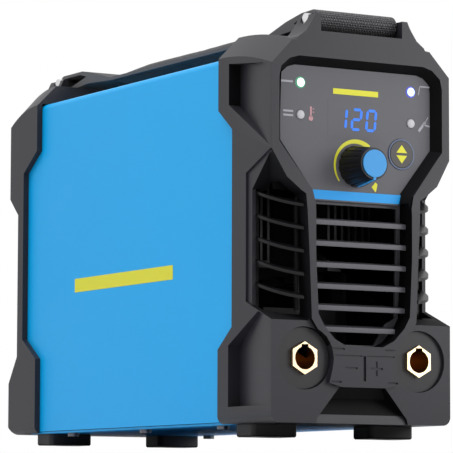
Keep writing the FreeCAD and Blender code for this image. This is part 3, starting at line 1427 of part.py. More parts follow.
def power_switch():
    x = "-switch_x"
    z = "switch_level"
    half_x = "switch_width / 2"
    half_z = "switch_height / 2"
    flange = prism("switch_bezel", "XZ", [rounded(x, z, f"({half_x} + switch_flange)",
                                                  f"({half_z} + switch_flange)",
                                                  "1.5")], "rear_panel_face", "rear_panel_face + 2")
    case = box("switch_case", f"{x} - {half_x} - 1.5", f"{x} + {half_x} + 1.5",
               "rear_panel_face - switch_depth",
               "rear_panel_face + 1", f"{z} - {half_z} - 1.5", f"{z} + {half_z} + 1.5")
    well = box("switch_well", f"{x} - {half_x}", f"{x} + {half_x}", "rear_panel_face - 12",
               "rear_panel_face + 3", f"{z} - {half_z}", f"{z} + {half_z}")
    pivots = rod("switch_pivot_hole", "x", "1.5 + running", f"{x} - {half_x} - 1", f"{x} + {half_x} + 1",
                 "rear_panel_face - 1.5", z)
    keep(cut("switch_housing", fuse("switch_solid", [flange, case]), [well, pivots]))

    rocker = doc.addObject("PartDesign::Body", "rocker_key")
    key = [
        ("-5.5", "-3"),
        ("-5.5", "3"),
        ("1", f"{half_z} - 1"),
        ("5.6", f"{half_z} - 1"),
        ("4.1", "0"),
        ("5.6", f"-({half_z} - 1)"),
        ("1", f"-({half_z} - 1)"),
    ]
    extrude(rocker, "rocker_profile", "YZ", [key], f"-({half_x} - gap)", f"{half_x} - gap")
    pin = attach(rocker, "rocker_pin_outline", "YZ", f"-({half_x} + 0.8)")
    pin.addGeometry(Part.Circle(FreeCAD.Vector(0, 0, 0), FreeCAD.Vector(0, 0, 1), 1.5))
    pin.addConstraint(Sketcher.Constraint("Coincident", 0, 3, -1, 1))
    pin.addConstraint(Sketcher.Constraint("Radius", 0, 1.5))
    stub = rocker.newObject("PartDesign::Pad", "rocker_pin")
    stub.Profile = pin
    bind(stub, "Length", f"2 * ({half_x} + 0.8)")
    rocker.Placement.Rotation = FreeCAD.Rotation(FreeCAD.Vector(1, 0, 0), 0)
    bind(rocker, "Placement.Rotation.Angle", "rocker_tilt")
    bind(rocker, "Placement.Base.x", x)
    bind(rocker, "Placement.Base.y", "rear_panel_face - 1.5 + origin_y")
    bind(rocker, "Placement.Base.z", f"{z} + foot_height")
    keep(rocker, "power_rocker")


def cable_gland():
    x = "gland_x"
    z = "gland_level"
    thread = rod("gland_thread_rod", "y", "gland_thread", "rear_panel_face - rear_sheet - gland_tail",
                 "rear_panel_face + 2", x, z)
    hexed = prism("gland_hex_body", "XZ", [hexagon(x, z, "gland_flats")], "rear_panel_face",
                  "rear_panel_face + gland_hex")
    dome = doc.addObject("Part::Cone", "gland_dome_cone")
    dome.Placement.Rotation = FreeCAD.Rotation(FreeCAD.Vector(1, 0, 0), -90)
    bind(dome, "Radius1", "gland_flats / 2 - 0.4")
    bind(dome, "Radius2", "gland_flats / 2 - 3.4")
    bind(dome, "Height", "gland_dome")
    bind(dome, "Placement.Base.x", x)
    bind(dome, "Placement.Base.y", "rear_panel_face + gland_hex + origin_y")
    bind(dome, "Placement.Base.z", f"{z} + foot_height")
    bore = rod("gland_hole", "y", "gland_bore", "rear_panel_face - 20", "rear_panel_face + 30", x, z)
    keep(cut("cable_gland", fuse("gland_solid", [thread, hexed, dome]), [bore]))
    nut = prism("gland_nut_hex", "XZ", [hexagon(x, z, "gland_flats + 1")],
                "rear_panel_face - rear_sheet - 5.2",
                "rear_panel_face - rear_sheet - 0.2")
    hole = rod("gland_nut_hole", "y", "gland_thread + running", "rear_panel_face - 20", "rear_panel_face", x,
               z)
    keep(cut("gland_nut", nut, [hole]))


def strap():
    for end, y in (("front", "bar_inset"), ("rear", "bar_rear")):
        keep(rod(f"{end}_strap_bar", "x", "bar_radius", "-(ear_outer - 0.6)", "ear_outer - 0.6", y,
                 "bar_height"))
    # The webbing is one band: round the front bar, through the sleeve and round the rear bar.
    inner = "(bar_radius + gap)"
    outer = "(bar_radius + gap + webbing_thick)"
    low = "(webbing_level - webbing_thick / 2)"
    high = "(webbing_level + webbing_thick / 2)"
    outline = [
        ("bar_inset", f"bar_height + {outer}", outer),
        (f"bar_inset - {outer}", "bar_height", outer),
        ("bar_inset", f"bar_height - {outer}"),
        ("bar_inset + 8", f"bar_height - {outer} + 0.4"),
        ("bar_inset + 23", f"{low} + 1.2"),
        ("sleeve_start", low),
        ("sleeve_end", low),
        ("bar_rear - 34", f"{low} + 1.6"),
        ("bar_rear - 8", f"bar_height - {outer} + 1.4"),
        ("bar_rear", f"bar_height - {outer}", outer),
        (f"bar_rear + {outer}", "bar_height", outer),
        ("bar_rear", f"bar_height + {outer}"),
        ("bar_rear - 24", f"bar_height + {outer}"),
        ("bar_rear - 36", f"bar_height + {outer} - 2"),
        ("sleeve_end", high),
        ("sleeve_start", high),
        ("bar_inset + 29", f"bar_height + {outer} - 3.2"),
        ("bar_inset + 12", f"bar_height + {outer} - 0.4"),
    ]
    front_eye = [
        ("bar_inset", f"bar_height + {inner}", inner),
        (f"bar_inset - {inner}", "bar_height", inner),
        ("bar_inset", f"bar_height - {inner}"),
        ("bar_inset + 11", f"bar_height - {inner} + 1.4"),
        ("bar_inset + 20", "bar_height + 0.4"),
        ("bar_inset + 11", f"bar_height + {inner} - 0.5"),
    ]
    rear_eye = [
        ("bar_rear", f"bar_height - {inner}", inner),
        (f"bar_rear + {inner}", "bar_height", inner),
        ("bar_rear", f"bar_height + {inner}"),
        ("bar_rear - 22", f"bar_height + {inner}"),
        ("bar_rear - 30", f"bar_height + {inner} - 2"),
        ("bar_rear - 12", f"bar_height - {inner} + 1.9"),
    ]
    keep(prism("strap_webbing", "YZ", [outline, front_eye, rear_eye], "-webbing_width / 2",
               "webbing_width / 2"))
    strap_sleeve()


def strap_sleeve():
    # Padded sleeve: full in the middle of its length, drawn in at both ends, with rounded edges.
    start = value("sleeve_start")
    end = value("sleeve_end")
    level = value("webbing_level")
    nose = value("sleeve_nose")
    shift = value("origin_y")
    lift = value("foot_height")
    full = value("sleeve_thick") / 2
    half = value("sleeve_half_width")
    slot_half = value("webbing_width / 2 + gap")
    slot_high = value("webbing_thick / 2 + gap")
    sections = (
        (start, half - 1.2, full * 0.62),
        (start + nose, half - 0.3, full * 0.9),
        (start + 4 * nose, half, full),
        (end - 4 * nose, half, full),
        (end - nose, half - 0.3, full * 0.9),
        (end, half - 1.2, full * 0.62),
    )
    wires = []
    for y, wide, high in sections:
        corner = high
        rim = high * math.sqrt(0.5)
        flat = wide - corner
        spots = {}
        for across_side in (1, -1):
            for up in (1, -1):
                spots["flat", across_side, up] = FreeCAD.Vector(across_side * flat, y + shift,
                                                                level + lift + up * high)
                spots["round", across_side, up] = FreeCAD.Vector(across_side * (flat + rim), y + shift,
                                                                 level + lift + up * rim)
            spots["edge", across_side] = FreeCAD.Vector(across_side * wide, y + shift, level + lift)
        edges = [
            Part.makeLine(spots["flat", -1, 1], spots["flat", 1, 1]),
            Part.Arc(spots["flat", 1, 1], spots["round", 1, 1], spots["edge", 1]).toShape(),
            Part.Arc(spots["edge", 1], spots["round", 1, -1], spots["flat", 1, -1]).toShape(),
            Part.makeLine(spots["flat", 1, -1], spots["flat", -1, -1]),
            Part.Arc(spots["flat", -1, -1], spots["round", -1, -1], spots["edge", -1]).toShape(),
            Part.Arc(spots["edge", -1], spots["round", -1, 1], spots["flat", -1, 1]).toShape(),
        ]
        wires.append(Part.Wire(edges))
    padded = Part.makeLoft(wires, True, True)
    slot = Part.makeBox(2 * slot_half, end - start + 2, 2 * slot_high,
                        FreeCAD.Vector(-slot_half, start - 1 + shift, level + lift - slot_high))
    item = doc.addObject("Part::Feature", "strap_sleeve")
    item.Shape = padded.cut(slot)
    keep(item)


front_frame()
rear_frame()
sheet_metal()
feet()
panel_board_screws = control_panel()
dial()
mode_button()
front_grille()
corner_louvres(1, "right")
corner_louvres(-1, "left")
sockets()
keep(group("board_screws", panel_board_screws + deck()))
heat_sinks()
wound_core("transformer", "transformer_x", "transformer_y", "transformer_width", "transformer_depth",
           "transformer_height")
wound_core("choke", "0", "choke_y", "choke_width", "choke_depth", "choke_height")
board_parts()
fan()
rear_panel()
power_switch()
cable_gland()
strap()
doc.recompute()

for item in doc.Objects:
    if "Invalid" in item.State or "Error" in item.State:
        raise RuntimeError(f"{item.Name} failed: {item.State}")
os.makedirs("parts", exist_ok=True)
for item in nodes:
    shape = item.Shape
    if shape.isNull() or not shape.isValid() or not shape.Solids:
        raise RuntimeError(f"{item.Label} has no valid solid")
    shape.exportStep(f"parts/{item.Label}.step")
print(len(nodes), "nodes,", sum(len(item.Shape.Solids) for item in nodes), "solids")
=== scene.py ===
import math

import bmesh
import bpy
from mathutils import Matrix, Vector


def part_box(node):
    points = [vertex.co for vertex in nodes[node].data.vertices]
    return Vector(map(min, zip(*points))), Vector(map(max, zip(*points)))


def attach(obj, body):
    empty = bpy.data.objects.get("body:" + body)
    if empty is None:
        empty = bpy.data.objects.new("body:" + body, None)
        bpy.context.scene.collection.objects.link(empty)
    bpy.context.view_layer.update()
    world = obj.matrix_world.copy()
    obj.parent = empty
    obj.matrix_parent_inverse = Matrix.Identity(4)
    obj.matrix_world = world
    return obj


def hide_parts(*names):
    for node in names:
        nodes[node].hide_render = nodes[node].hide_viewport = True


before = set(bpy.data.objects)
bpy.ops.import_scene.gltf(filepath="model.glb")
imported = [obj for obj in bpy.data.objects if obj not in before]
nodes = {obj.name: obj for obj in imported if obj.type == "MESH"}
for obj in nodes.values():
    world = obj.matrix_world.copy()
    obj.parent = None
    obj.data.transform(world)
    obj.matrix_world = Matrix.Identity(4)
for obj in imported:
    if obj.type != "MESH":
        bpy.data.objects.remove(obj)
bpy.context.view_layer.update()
scene = bpy.context.scene

# Bench places are in millimetres: x to the right, y back from the front moulding's face, z up from its bottom edge.
bench = dict(y=156.25, z=-7.3)


def at(x, y, z):
    return Vector((x, y - bench["y"], z - bench["z"])) / 1000


print("stage: materials")


def group(name, inputs, outputs):
    tree = bpy.data.node_groups.new(name, "ShaderNodeTree")
    for label, kind, value in inputs:
        socket = tree.interface.new_socket(label, in_out="INPUT", socket_type=kind)
        if value is not None:
            socket.default_value = value
    for label, kind in outputs:
        tree.interface.new_socket(label, in_out="OUTPUT", socket_type=kind)
    return tree, tree.nodes.new("NodeGroupInput"), tree.nodes.new("NodeGroupOutput")


def mathNode(tree, operation, first, second=None, clamp=False):
    node = tree.nodes.new("ShaderNodeMath")
    node.operation = operation
    node.use_clamp = clamp
    for index, value in enumerate((first, second)):
        if value is None:
            continue
        if isinstance(value, (int, float)):
            node.inputs[index].default_value = value
        else:
            tree.links.new(value, node.inputs[index])
    return node.outputs[0]


grainLook = dict(detail=2.0, driftScale=22.0, driftDetail=3.0)


def makeGrain():
    # Fine moulded grain, as a height for a bump and a roughness that drifts.
    tree, source, result = group(
        "grain",
        [("Scale", "NodeSocketFloat", 900.0), ("Roughness", "NodeSocketFloat", 0.5),
         ("Spread", "NodeSocketFloat", 0.08)],
        [("Height", "NodeSocketFloat"), ("Roughness", "NodeSocketFloat")],
    )
    place = tree.nodes.new("ShaderNodeTexCoord")
    fine = tree.nodes.new("ShaderNodeTexNoise")
    fine.inputs["Detail"].default_value = grainLook["detail"]
    tree.links.new(place.outputs["Object"], fine.inputs["Vector"])
    tree.links.new(source.outputs["Scale"], fine.inputs["Scale"])
    broad = tree.nodes.new("ShaderNodeTexNoise")
    broad.inputs["Scale"].default_value = grainLook["driftScale"]
    broad.inputs["Detail"].default_value = grainLook["driftDetail"]
    tree.links.new(place.outputs["Object"], broad.inputs["Vector"])
    centred = mathNode(tree, "SUBTRACT", broad.outputs["Fac"], 0.5)
    drift = mathNode(tree, "MULTIPLY", centred, source.outputs["Spread"])
    tree.links.new(mathNode(tree, "ADD", drift, source.outputs["Roughness"], True), result.inputs["Roughness"])
    tree.links.new(fine.outputs["Fac"], result.inputs["Height"])
    return tree


tintLook = dict(detail=4.0)


def makeTint():
    # A colour whose brightness drifts a little over the surface.
    tree, source, result = group(
        "tint",
        [("Color", "NodeSocketColor", None), ("Drift", "NodeSocketFloat", 0.06), ("Scale", "NodeSocketFloat", 9.0)],
        [("Color", "NodeSocketColor")],
    )
    place = tree.nodes.new("ShaderNodeTexCoord")
    broad = tree.nodes.new("ShaderNodeTexNoise")
    broad.inputs["Detail"].default_value = tintLook["detail"]
    tree.links.new(place.outputs["Object"], broad.inputs["Vector"])
    tree.links.new(source.outputs["Scale"], broad.inputs["Scale"])
    centred = mathNode(tree, "SUBTRACT", broad.outputs["Fac"], 0.5)
    drift = mathNode(tree, "MULTIPLY", centred, source.outputs["Drift"])
    level = mathNode(tree, "ADD", drift, 1.0)
    shade = tree.nodes.new("ShaderNodeHueSaturation")
    tree.links.new(source.outputs["Color"], shade.inputs["Color"])
    tree.links.new(level, shade.inputs["Value"])
    tree.links.new(shade.outputs["Color"], result.inputs["Color"])
    return tree


weaveLook = dict(rowOffset=0.5, highlightSharpness=7.0)


def makeWeave():
    # Rows of rounded picks set off by half a pick a row, as a height and a mask of their tops for a painted highlight.
    tree, source, result = group(
        "weave",
        [("Vector", "NodeSocketVector", None), ("Across", "NodeSocketFloat", 1.0), ("Along", "NodeSocketFloat", 1.0),
         ("Wander", "NodeSocketFloat", 0.2)],
        [("Height", "NodeSocketFloat"), ("Top", "NodeSocketFloat")],
    )
    parts = tree.nodes.new("ShaderNodeSeparateXYZ")
    tree.links.new(source.outputs["Vector"], parts.inputs["Vector"])
    across = mathNode(tree, "MULTIPLY", parts.outputs["X"], source.outputs["Across"])
    along = mathNode(tree, "MULTIPLY", parts.outputs["Y"], source.outputs["Along"])
    offset = mathNode(tree, "MULTIPLY", mathNode(tree, "FLOOR", along), weaveLook["rowOffset"])
    cell = tree.nodes.new("ShaderNodeCombineXYZ")
    tree.links.new(mathNode(tree, "ADD", across, offset), cell.inputs["X"])
    tree.links.new(along, cell.inputs["Y"])
    picks = tree.nodes.new("ShaderNodeTexVoronoi")
    picks.voronoi_dimensions = "2D"
    picks.inputs["Scale"].default_value = 1.0
    tree.links.new(cell.outputs["Vector"], picks.inputs["Vector"])
    tree.links.new(source.outputs["Wander"], picks.inputs["Randomness"])
    height = mathNode(tree, "SUBTRACT", 1.0, picks.outputs["Distance"], True)
    tree.links.new(height, result.inputs["Height"])
    tree.links.new(mathNode(tree, "POWER", height, weaveLook["highlightSharpness"]), result.inputs["Top"])
    return tree


def woven(name, across, along, depth, dark, light, useUv, roughness=0.55, sheen=0.15):
    # Cloth in the dark colour, with a painted highlight in the light colour on the tops of its picks.
    material = surface(name, dark, roughness=roughness, sheen=sheen)
    tree = material.node_tree
    shader = tree.nodes["Principled BSDF"]
    place = tree.nodes.new("ShaderNodeTexCoord")
    cloth = tree.nodes.new("ShaderNodeGroup")
    cloth.node_tree = weave
    cloth.inputs["Across"].default_value = across
    cloth.inputs["Along"].default_value = along
    tree.links.new(place.outputs["UV" if useUv else "Object"], cloth.inputs["Vector"])
    blend = tree.nodes.new("ShaderNodeMix")
    blend.data_type = "RGBA"
    blend.inputs["A"].default_value = (*dark, 1)
    blend.inputs["B"].default_value = (*light, 1)
    tree.links.new(cloth.outputs["Top"], blend.inputs["Factor"])
    tree.links.new(blend.outputs["Result"], shader.inputs["Base Color"])
    bump = tree.nodes.new("ShaderNodeBump")
    bump.inputs["Distance"].default_value = depth
    tree.links.new(cloth.outputs["Height"], bump.inputs["Height"])
    tree.links.new(bump.outputs["Normal"], shader.inputs["Normal"])
    return material


grain = makeGrain()
tint = makeTint()
weave = makeWeave()


def surface(name, color, roughness=0.4, metallic=0.0, grainSize=900.0, grainDepth=0.0, spread=0.08, drift=0.06,
            specular=0.24, coat=0.0, coatRoughness=0.1, emission=None, strength=0.0, sheen=0.0):
    material = bpy.data.materials.new(name)
    material.use_nodes = True
    tree = material.node_tree
    shader = tree.nodes["Principled BSDF"]
    tinted = tree.nodes.new("ShaderNodeGroup")
    tinted.node_tree = tint
    tinted.inputs["Color"].default_value = (*color, 1)
    tinted.inputs["Drift"].default_value = drift
    tree.links.new(tinted.outputs["Color"], shader.inputs["Base Color"])
    grained = tree.nodes.new("ShaderNodeGroup")
    grained.node_tree = grain
    grained.inputs["Scale"].default_value = grainSize
    grained.inputs["Roughness"].default_value = roughness
    grained.inputs["Spread"].default_value = spread
    tree.links.new(grained.outputs["Roughness"], shader.inputs["Roughness"])
    if grainDepth:
        bump = tree.nodes.new("ShaderNodeBump")
        bump.inputs["Distance"].default_value = grainDepth
        tree.links.new(grained.outputs["Height"], bump.inputs["Height"])
        tree.links.new(bump.outputs["Normal"], shader.inputs["Normal"])
    shader.inputs["Metallic"].default_value = metallic
    shader.inputs["Specular IOR Level"].default_value = specular
    shader.inputs["Coat Weight"].default_value = coat
    shader.inputs["Coat Roughness"].default_value = coatRoughness
    shader.inputs["Sheen Weight"].default_value = sheen
    if emission:
        shader.inputs["Emission Color"].default_value = (*emission, 1)
        shader.inputs["Emission Strength"].default_value = strength
    return material


finishes = {
    "moulding": dict(color=(0.0175, 0.017, 0.0215), roughness=0.42, grainDepth=0.00002),
    # Painted shade: the moulding made near black on the recess walls round the fascia and inside the scoop.
    "paintedRecessShade": dict(color=(0.002, 0.002, 0.0025), roughness=0.6, specular=0.08),
    # Painted light: the grille slats are the moulding's plastic, painted lighter for their lit fronts.
    "grille": dict(color=(0.07, 0.069, 0.078), roughness=0.34, grainDepth=0.00001),
    # Painted shade: the corner louvres are the moulding's plastic, painted darker for the shade in the corner
    # openings.
    "louvre": dict(color=(0.005, 0.005, 0.006), roughness=0.35, grainDepth=0.00001),
    "blueCoat": dict(color=(0.0, 0.31, 0.66), roughness=0.42, grainSize=1400.0, grainDepth=0.000008, drift=0.03),
    "rearCoat": dict(color=(0.02, 0.02, 0.022), roughness=0.45, grainSize=1400.0, grainDepth=0.00001),
    "panel": dict(color=(0.082, 0.082, 0.092), roughness=0.5, drift=0.1),
    "display": dict(color=(0.02, 0.02, 0.025), roughness=0.25),
    "knob": dict(color=(0.006, 0.006, 0.007), roughness=0.33),
    "knobBlue": dict(color=(0.03, 0.23, 0.52), roughness=0.35),
    "button": dict(color=(0.055, 0.052, 0.05), roughness=0.45),
    "buttonRing": dict(color=(0.1, 0.13, 0.21), roughness=0.3),
    "socketBlack": dict(color=(0.018, 0.018, 0.02), roughness=0.38),
    "brass": dict(color=(0.96, 0.75, 0.47), roughness=0.28, metallic=1.0, spread=0.15),
    "copper": dict(color=(0.86, 0.36, 0.18), roughness=0.25, metallic=1.0),
    "enamel": dict(color=(0.75, 0.2, 0.06), roughness=0.25, coat=0.8),
    "rubber": dict(color=(0.02, 0.02, 0.021), roughness=0.6, grainDepth=0.00003),
    "steel": dict(color=(0.62, 0.62, 0.63), roughness=0.28, metallic=1.0),
    "darkSteel": dict(color=(0.12, 0.12, 0.13), roughness=0.35, metallic=1.0),
    "fanBlack": dict(color=(0.012, 0.012, 0.013), roughness=0.4),
    "partBlack": dict(color=(0.012, 0.012, 0.012), roughness=0.45),
    "rocker": dict(color=(0.012, 0.012, 0.013), roughness=0.3),
    "circuitBoard": dict(color=(0.01, 0.11, 0.045), roughness=0.35, coat=0.3),
    "ferrite": dict(color=(0.03, 0.03, 0.033), roughness=0.6),
    # Painted shade: the heat sinks made near black to stand for the dark inside of the case.
    "paintedFinShade": dict(color=(0.012, 0.012, 0.014), roughness=0.4),
    "canSleeve": dict(color=(0.01, 0.02, 0.07), roughness=0.3),
    "yellow": dict(color=(0.58, 0.56, 0.03), roughness=0.45),
    "lampOff": dict(color=(0.42, 0.42, 0.43), roughness=0.45, specular=0.2),
    # Painted shade: near black for the hollows in the front moulding, its corner line, the vents and the case's
    # inside.
    "paintedShade": dict(color=(0.0025, 0.0025, 0.0035), roughness=0.7, specular=0.1),
    # Painted shade: the socket brass made darker inside the bores and key slots.
    "brassBoreShade": dict(color=(0.4, 0.22, 0.04), roughness=0.3, metallic=1.0),
    "digit": dict(color=(0.0, 0.03, 0.12), roughness=0.4, emission=(0.03, 0.19, 0.86), strength=1.0),
    "stripBlue": dict(color=(0.0, 0.25, 0.62), roughness=0.35),
    "paleInk": dict(color=(0.3, 0.3, 0.33), roughness=0.5),
    "pinkInk": dict(color=(0.4, 0.22, 0.24), roughness=0.5),
    "greenLamp": dict(color=(0.7, 0.9, 0.8), roughness=0.3, emission=(0.75, 1.0, 0.92), strength=1.6),
    "blueLamp": dict(color=(0.6, 0.7, 0.9), roughness=0.3, emission=(0.45, 0.8, 1.0), strength=1.4),
    "greenGlow": dict(color=(0.05, 0.2, 0.1), roughness=0.4, emission=(0.05, 0.3, 0.16), strength=0.7),
    "blueGlow": dict(color=(0.05, 0.05, 0.3), roughness=0.4, emission=(0.08, 0.07, 0.6), strength=0.7),
}
coats = {name: surface(name, **values) for name, values in finishes.items()}
# The light colours of these cloths are painted highlights on the tops of the picks.
cloths = {
    "webbing": dict(across=1.0, along=0.72, depth=0.0006, dark=(0.003, 0.003, 0.004), light=(0.26, 0.26, 0.28),
                    useUv=True),
    "pad": dict(across=900.0, along=900.0, depth=0.0002, dark=(0.005, 0.005, 0.007), light=(0.03, 0.03, 0.035),
                useUv=False),
}
coats.update({name: woven(name, **values) for name, values in cloths.items()})

nodeFinish = {
    "moulding": ("front_frame", "rear_frame"),
    "grille": ("front_grille",),
    "louvre": ("left_corner_louvres", "right_corner_louvres"),
    "blueCoat": ("cover", "base_tray"),
    "rearCoat": ("rear_panel",),
    "panel": ("control_panel", "display_lens"),
    "display": ("display_module",),
    "knob": ("knob",),
    "knobBlue": ("knob_cap",),
    "button": ("mode_button",),
    "buttonRing": ("button_ring",),
    "socketBlack": ("negative_socket_collar", "positive_socket_collar"),
    "brass": ("negative_socket", "positive_socket", "socket_nuts"),
    "copper": ("negative_busbar", "positive_busbar"),
    "enamel": ("transformer_winding", "choke_winding"),
    "rubber": ("foot_front_left", "foot_front_right", "foot_rear_left", "foot_rear_right"),
    "steel": ("dial_shaft", "board_screws", "front_strap_bar", "rear_strap_bar", "board_spacers"),
    "darkSteel": ("fan_guard", "panel_screws", "foot_screws", "fan_screws", "cover_screws"),
    "fanBlack": ("fan_housing", "fan_rotor"),
    "partBlack": ("dial_encoder", "power_transistors", "rectifier", "switch_housing", "cable_gland", "gland_nut"),
    "rocker": ("power_rocker",),
    "circuitBoard": ("control_board", "main_board"),
    "ferrite": ("transformer_core", "choke_core"),
    "paintedFinShade": ("left_heat_sink", "right_heat_sink"),
    "canSleeve": ("bulk_capacitors",),
    "webbing": ("strap_webbing",),
    "pad": ("strap_sleeve",),
    "lampOff": ("power_lamp", "fault_lamp", "stick_lamp", "lift_lamp"),
}
for finish, members in nodeFinish.items():
    for member in members:
        nodes[member].data.materials.clear()
        nodes[member].data.materials.append(coats[finish])

print("stage: bevelled shells")


def made(name, mesh, body, coat=None):
    item = bpy.data.objects.new(name, mesh)
    scene.collection.objects.link(item)
    if coat:
        mesh.materials.clear()
        mesh.materials.append(coats[coat])
    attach(item, body)
    return item


def settled(item):
    # The object's mesh with its modifiers applied, as plain data.
    shown = item.evaluated_get(bpy.context.evaluated_depsgraph_get())
    mesh = bpy.data.meshes.new_from_object(shown)
    item.modifiers.clear()
    old = item.data
    item.data = mesh
    bpy.data.meshes.remove(old)
    return item


def smooth(mesh, angle):
    for face in mesh.polygons:
        face.use_smooth = True
    mesh.set_sharp_from_angle(angle=math.radians(angle))


edgeCare = dict(merge=0.000005, flat=0.05, sharp=24, shading=40, weight=100)  # metres, degrees and a modifier's weight


def bevelled(name, node, body, width, segments):
    # A rounded copy of a CAD node stands for it.
    mesh = nodes[node].data.copy()
    work = bmesh.new()
    work.from_mesh(mesh)
    bmesh.ops.remove_doubles(work, verts=work.verts, dist=edgeCare["merge"])
    bmesh.ops.dissolve_limit(work, angle_limit=math.radians(edgeCare["flat"]), verts=work.verts, edges=work.edges,
                             delimit={"NORMAL"})
    work.to_mesh(mesh)
    work.free()
    item = bpy.data.objects.new(name, mesh)
    scene.collection.objects.link(item)
    bevel = item.modifiers.new("edges", "BEVEL")
    bevel.width = width
    bevel.segments = segments
    bevel.limit_method = "ANGLE"
    bevel.angle_limit = math.radians(edgeCare["sharp"])
    bevel.use_clamp_overlap = True
    settled(item)
    smooth(item.data, edgeCare["shading"])
    weights = item.modifiers.new("weights", "WEIGHTED_NORMAL")
    weights.mode = "FACE_AREA"
    weights.weight = edgeCare["weight"]
    weights.keep_sharp = True
    settled(item)
    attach(item, body)
    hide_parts(node)
    return item


shells = {
    "front_frame": dict(name="frontShell", width=0.0007, segments=3),
    "rear_frame": dict(name="rearShell", width=0.0007, segments=3),
    "front_grille": dict(name="grilleSlats", width=0.0003, segments=2),
    "left_corner_louvres": dict(name="leftLouvres", width=0.0003, segments=2),
    "right_corner_louvres": dict(name="rightLouvres", width=0.0003, segments=2),
    "cover": dict(name="foldedCover", width=0.0003, segments=2),
    "control_panel": dict(name="fascia", width=0.0002, segments=2),
    "knob": dict(name="dialKnob", width=0.0003, segments=2, body="knob"),
    "knob_cap": dict(name="dialCap", width=0.0002, segments=2, body="knob"),
    "mode_button": dict(name="modeKey", width=0.0003, segments=3, body="mode_button"),
    "button_ring": dict(name="keyRing", width=0.0002, segments=2),
    "negative_socket": dict(name="negativeBrass", width=0.0004, segments=3),
    "positive_socket": dict(name="positiveBrass", width=0.0004, segments=3),
    "negative_socket_collar": dict(name="negativeCollar", width=0.0004, segments=3),
    "positive_socket_collar": dict(name="positiveCollar", width=0.0004, segments=3),
    "foot_front_left": dict(name="footFrontLeft", width=0.0006, segments=3),
    "foot_front_right": dict(name="footFrontRight", width=0.0006, segments=3),
    "foot_rear_left": dict(name="footRearLeft", width=0.0006, segments=3),
    "foot_rear_right": dict(name="footRearRight", width=0.0006, segments=3),
    "switch_housing": dict(name="switchFrame", width=0.0003, segments=2),
    "power_rocker": dict(name="switchRocker", width=0.0003, segments=2, body="power_rocker"),
    "cable_gland": dict(name="glandBody", width=0.0003, segments=2),
    "gland_nut": dict(name="glandNut", width=0.0003, segments=2),
    "rear_panel": dict(name="rearSheet", width=0.0002, segments=2),
    "base_tray": dict(name="floorTray", width=0.0002, segments=2),
}
dressed = {}
for node, values in shells.items():
    dressed[node] = bevelled(values["name"], node, values.get("body", "housing"), values["width"], values["segments"])
    print("  ", node, len(dressed[node].data.polygons))


def repaint(node, coat, test):
    # Gives the faces that pass a test on their middle and normal, in bench millimetres, another finish.
    mesh = dressed[node].data
    mesh.materials.append(coats[coat])
    slot = len(mesh.materials) - 1
    origin = at(0, 0, 0)
    for face in mesh.polygons:
        middle = (face.center - origin) * 1000
        if test(middle.x, middle.y, middle.z, face.normal):
            face.material_index = slot


recess = dict(front=-2.2, back=9.8, facing=0.93, sill=130.4, reach=55.4, top=206.4, lip=0.25, throat=34,
              widening=0.79, spare=0.6, neck=34.2, floor=44)


# Faces on the walls of the recess round the fascia, which get painted shade.
def inRecess(x, y, z, normal):
    if abs(normal.y) > recess["facing"] or not recess["front"] < y < recess["back"]:
        return False
    if z <= recess["sill"]:
        return abs(x) < recess["neck"] and z > recess["floor"]
    flare = recess["throat"] + (z - recess["sill"]) * recess["widening"] + recess["spare"]
    return abs(x) < min(recess["reach"], flare) and z < recess["top"] and y > recess["lip"]


hollow = dict(front=12.2, side=56.6, floor=3, roof=207.5, narrow=48.7, widens=60)


# Faces inside the hollow behind the front moulding, which get painted shade.
def inHollow(x, y, z, normal):
    inside = y > hollow["front"] and abs(x) < hollow["side"] and hollow["floor"] < z < hollow["roof"]
    return inside and (abs(x) < hollow["narrow"] or z > hollow["widens"])


cornerLine = dict(side=-58.9, front=-3.5, back=1.2, slant=0.12, upright=0.5)


# Faces along the front left corner, which get a painted shade line.
def onCornerLine(x, y, z, normal):
    near = x < cornerLine["side"] and cornerLine["front"] < y < cornerLine["back"]
    slanted = min(abs(normal.x), abs(normal.y)) > cornerLine["slant"]
    return near and slanted and abs(normal.z) < cornerLine["upright"]


scoop = dict(side=31, front=-2.3, back=14, floor=0.3, roof=20.6, facing=0.9)


# Faces inside the scoop at the foot of the front, which get painted shade.
def inScoop(x, y, z, normal):
    inside = abs(x) < scoop["side"] and scoop["front"] < y < scoop["back"] and scoop["floor"] < z < scoop["roof"]
    return inside and abs(normal.y) < scoop["facing"]


vent = dict(inner=33, outer=57, front=1.5, back=24, low=50, high=150, facing=0.5)


def inVent(x, y, z, normal):
    # The jambs and sills of the openings behind the side louvres, which get painted shade.
    inside = (vent["inner"] < abs(x) < vent["outer"] and vent["front"] < y < vent["back"]
              and vent["low"] < z < vent["high"])
    return inside and (normal.x * x > vent["facing"] * abs(x) or normal.z > vent["facing"])


coverInside = dict(sideways=0.2, down=0.3, ridge=210.4)


# Inward faces of the cover below its ridge, which get painted shade.
def inCover(x, y, z, normal):
    inward = normal.x * x < -coverInside["sideways"] * abs(x) or normal.z < -coverInside["down"]
    return inward and z < coverInside["ridge"]


# Upward faces of the floor tray inside the case, which get painted shade.
def inTray(x, y, z, normal):
    return normal.z > coverInside["down"]


socket = dict(aside=38.3, height=36.1, wall=6.8, keyHalf=2.4, keyTop=43.9, face=1, facing=0.9)


def inBore(side):
    # The bore and its key slot, without the brass face that they open in; they get darker brass as painted shade.
    def test(x, y, z, normal):
        across, above = x - side * socket["aside"], z - socket["height"]
        bored = math.hypot(across, above) < socket["wall"]
        keyed = abs(across) < socket["keyHalf"] and socket["height"] < z < socket["keyTop"]
        return (y > socket["face"] or abs(normal.y) < socket["facing"]) and (bored or keyed)
    return test


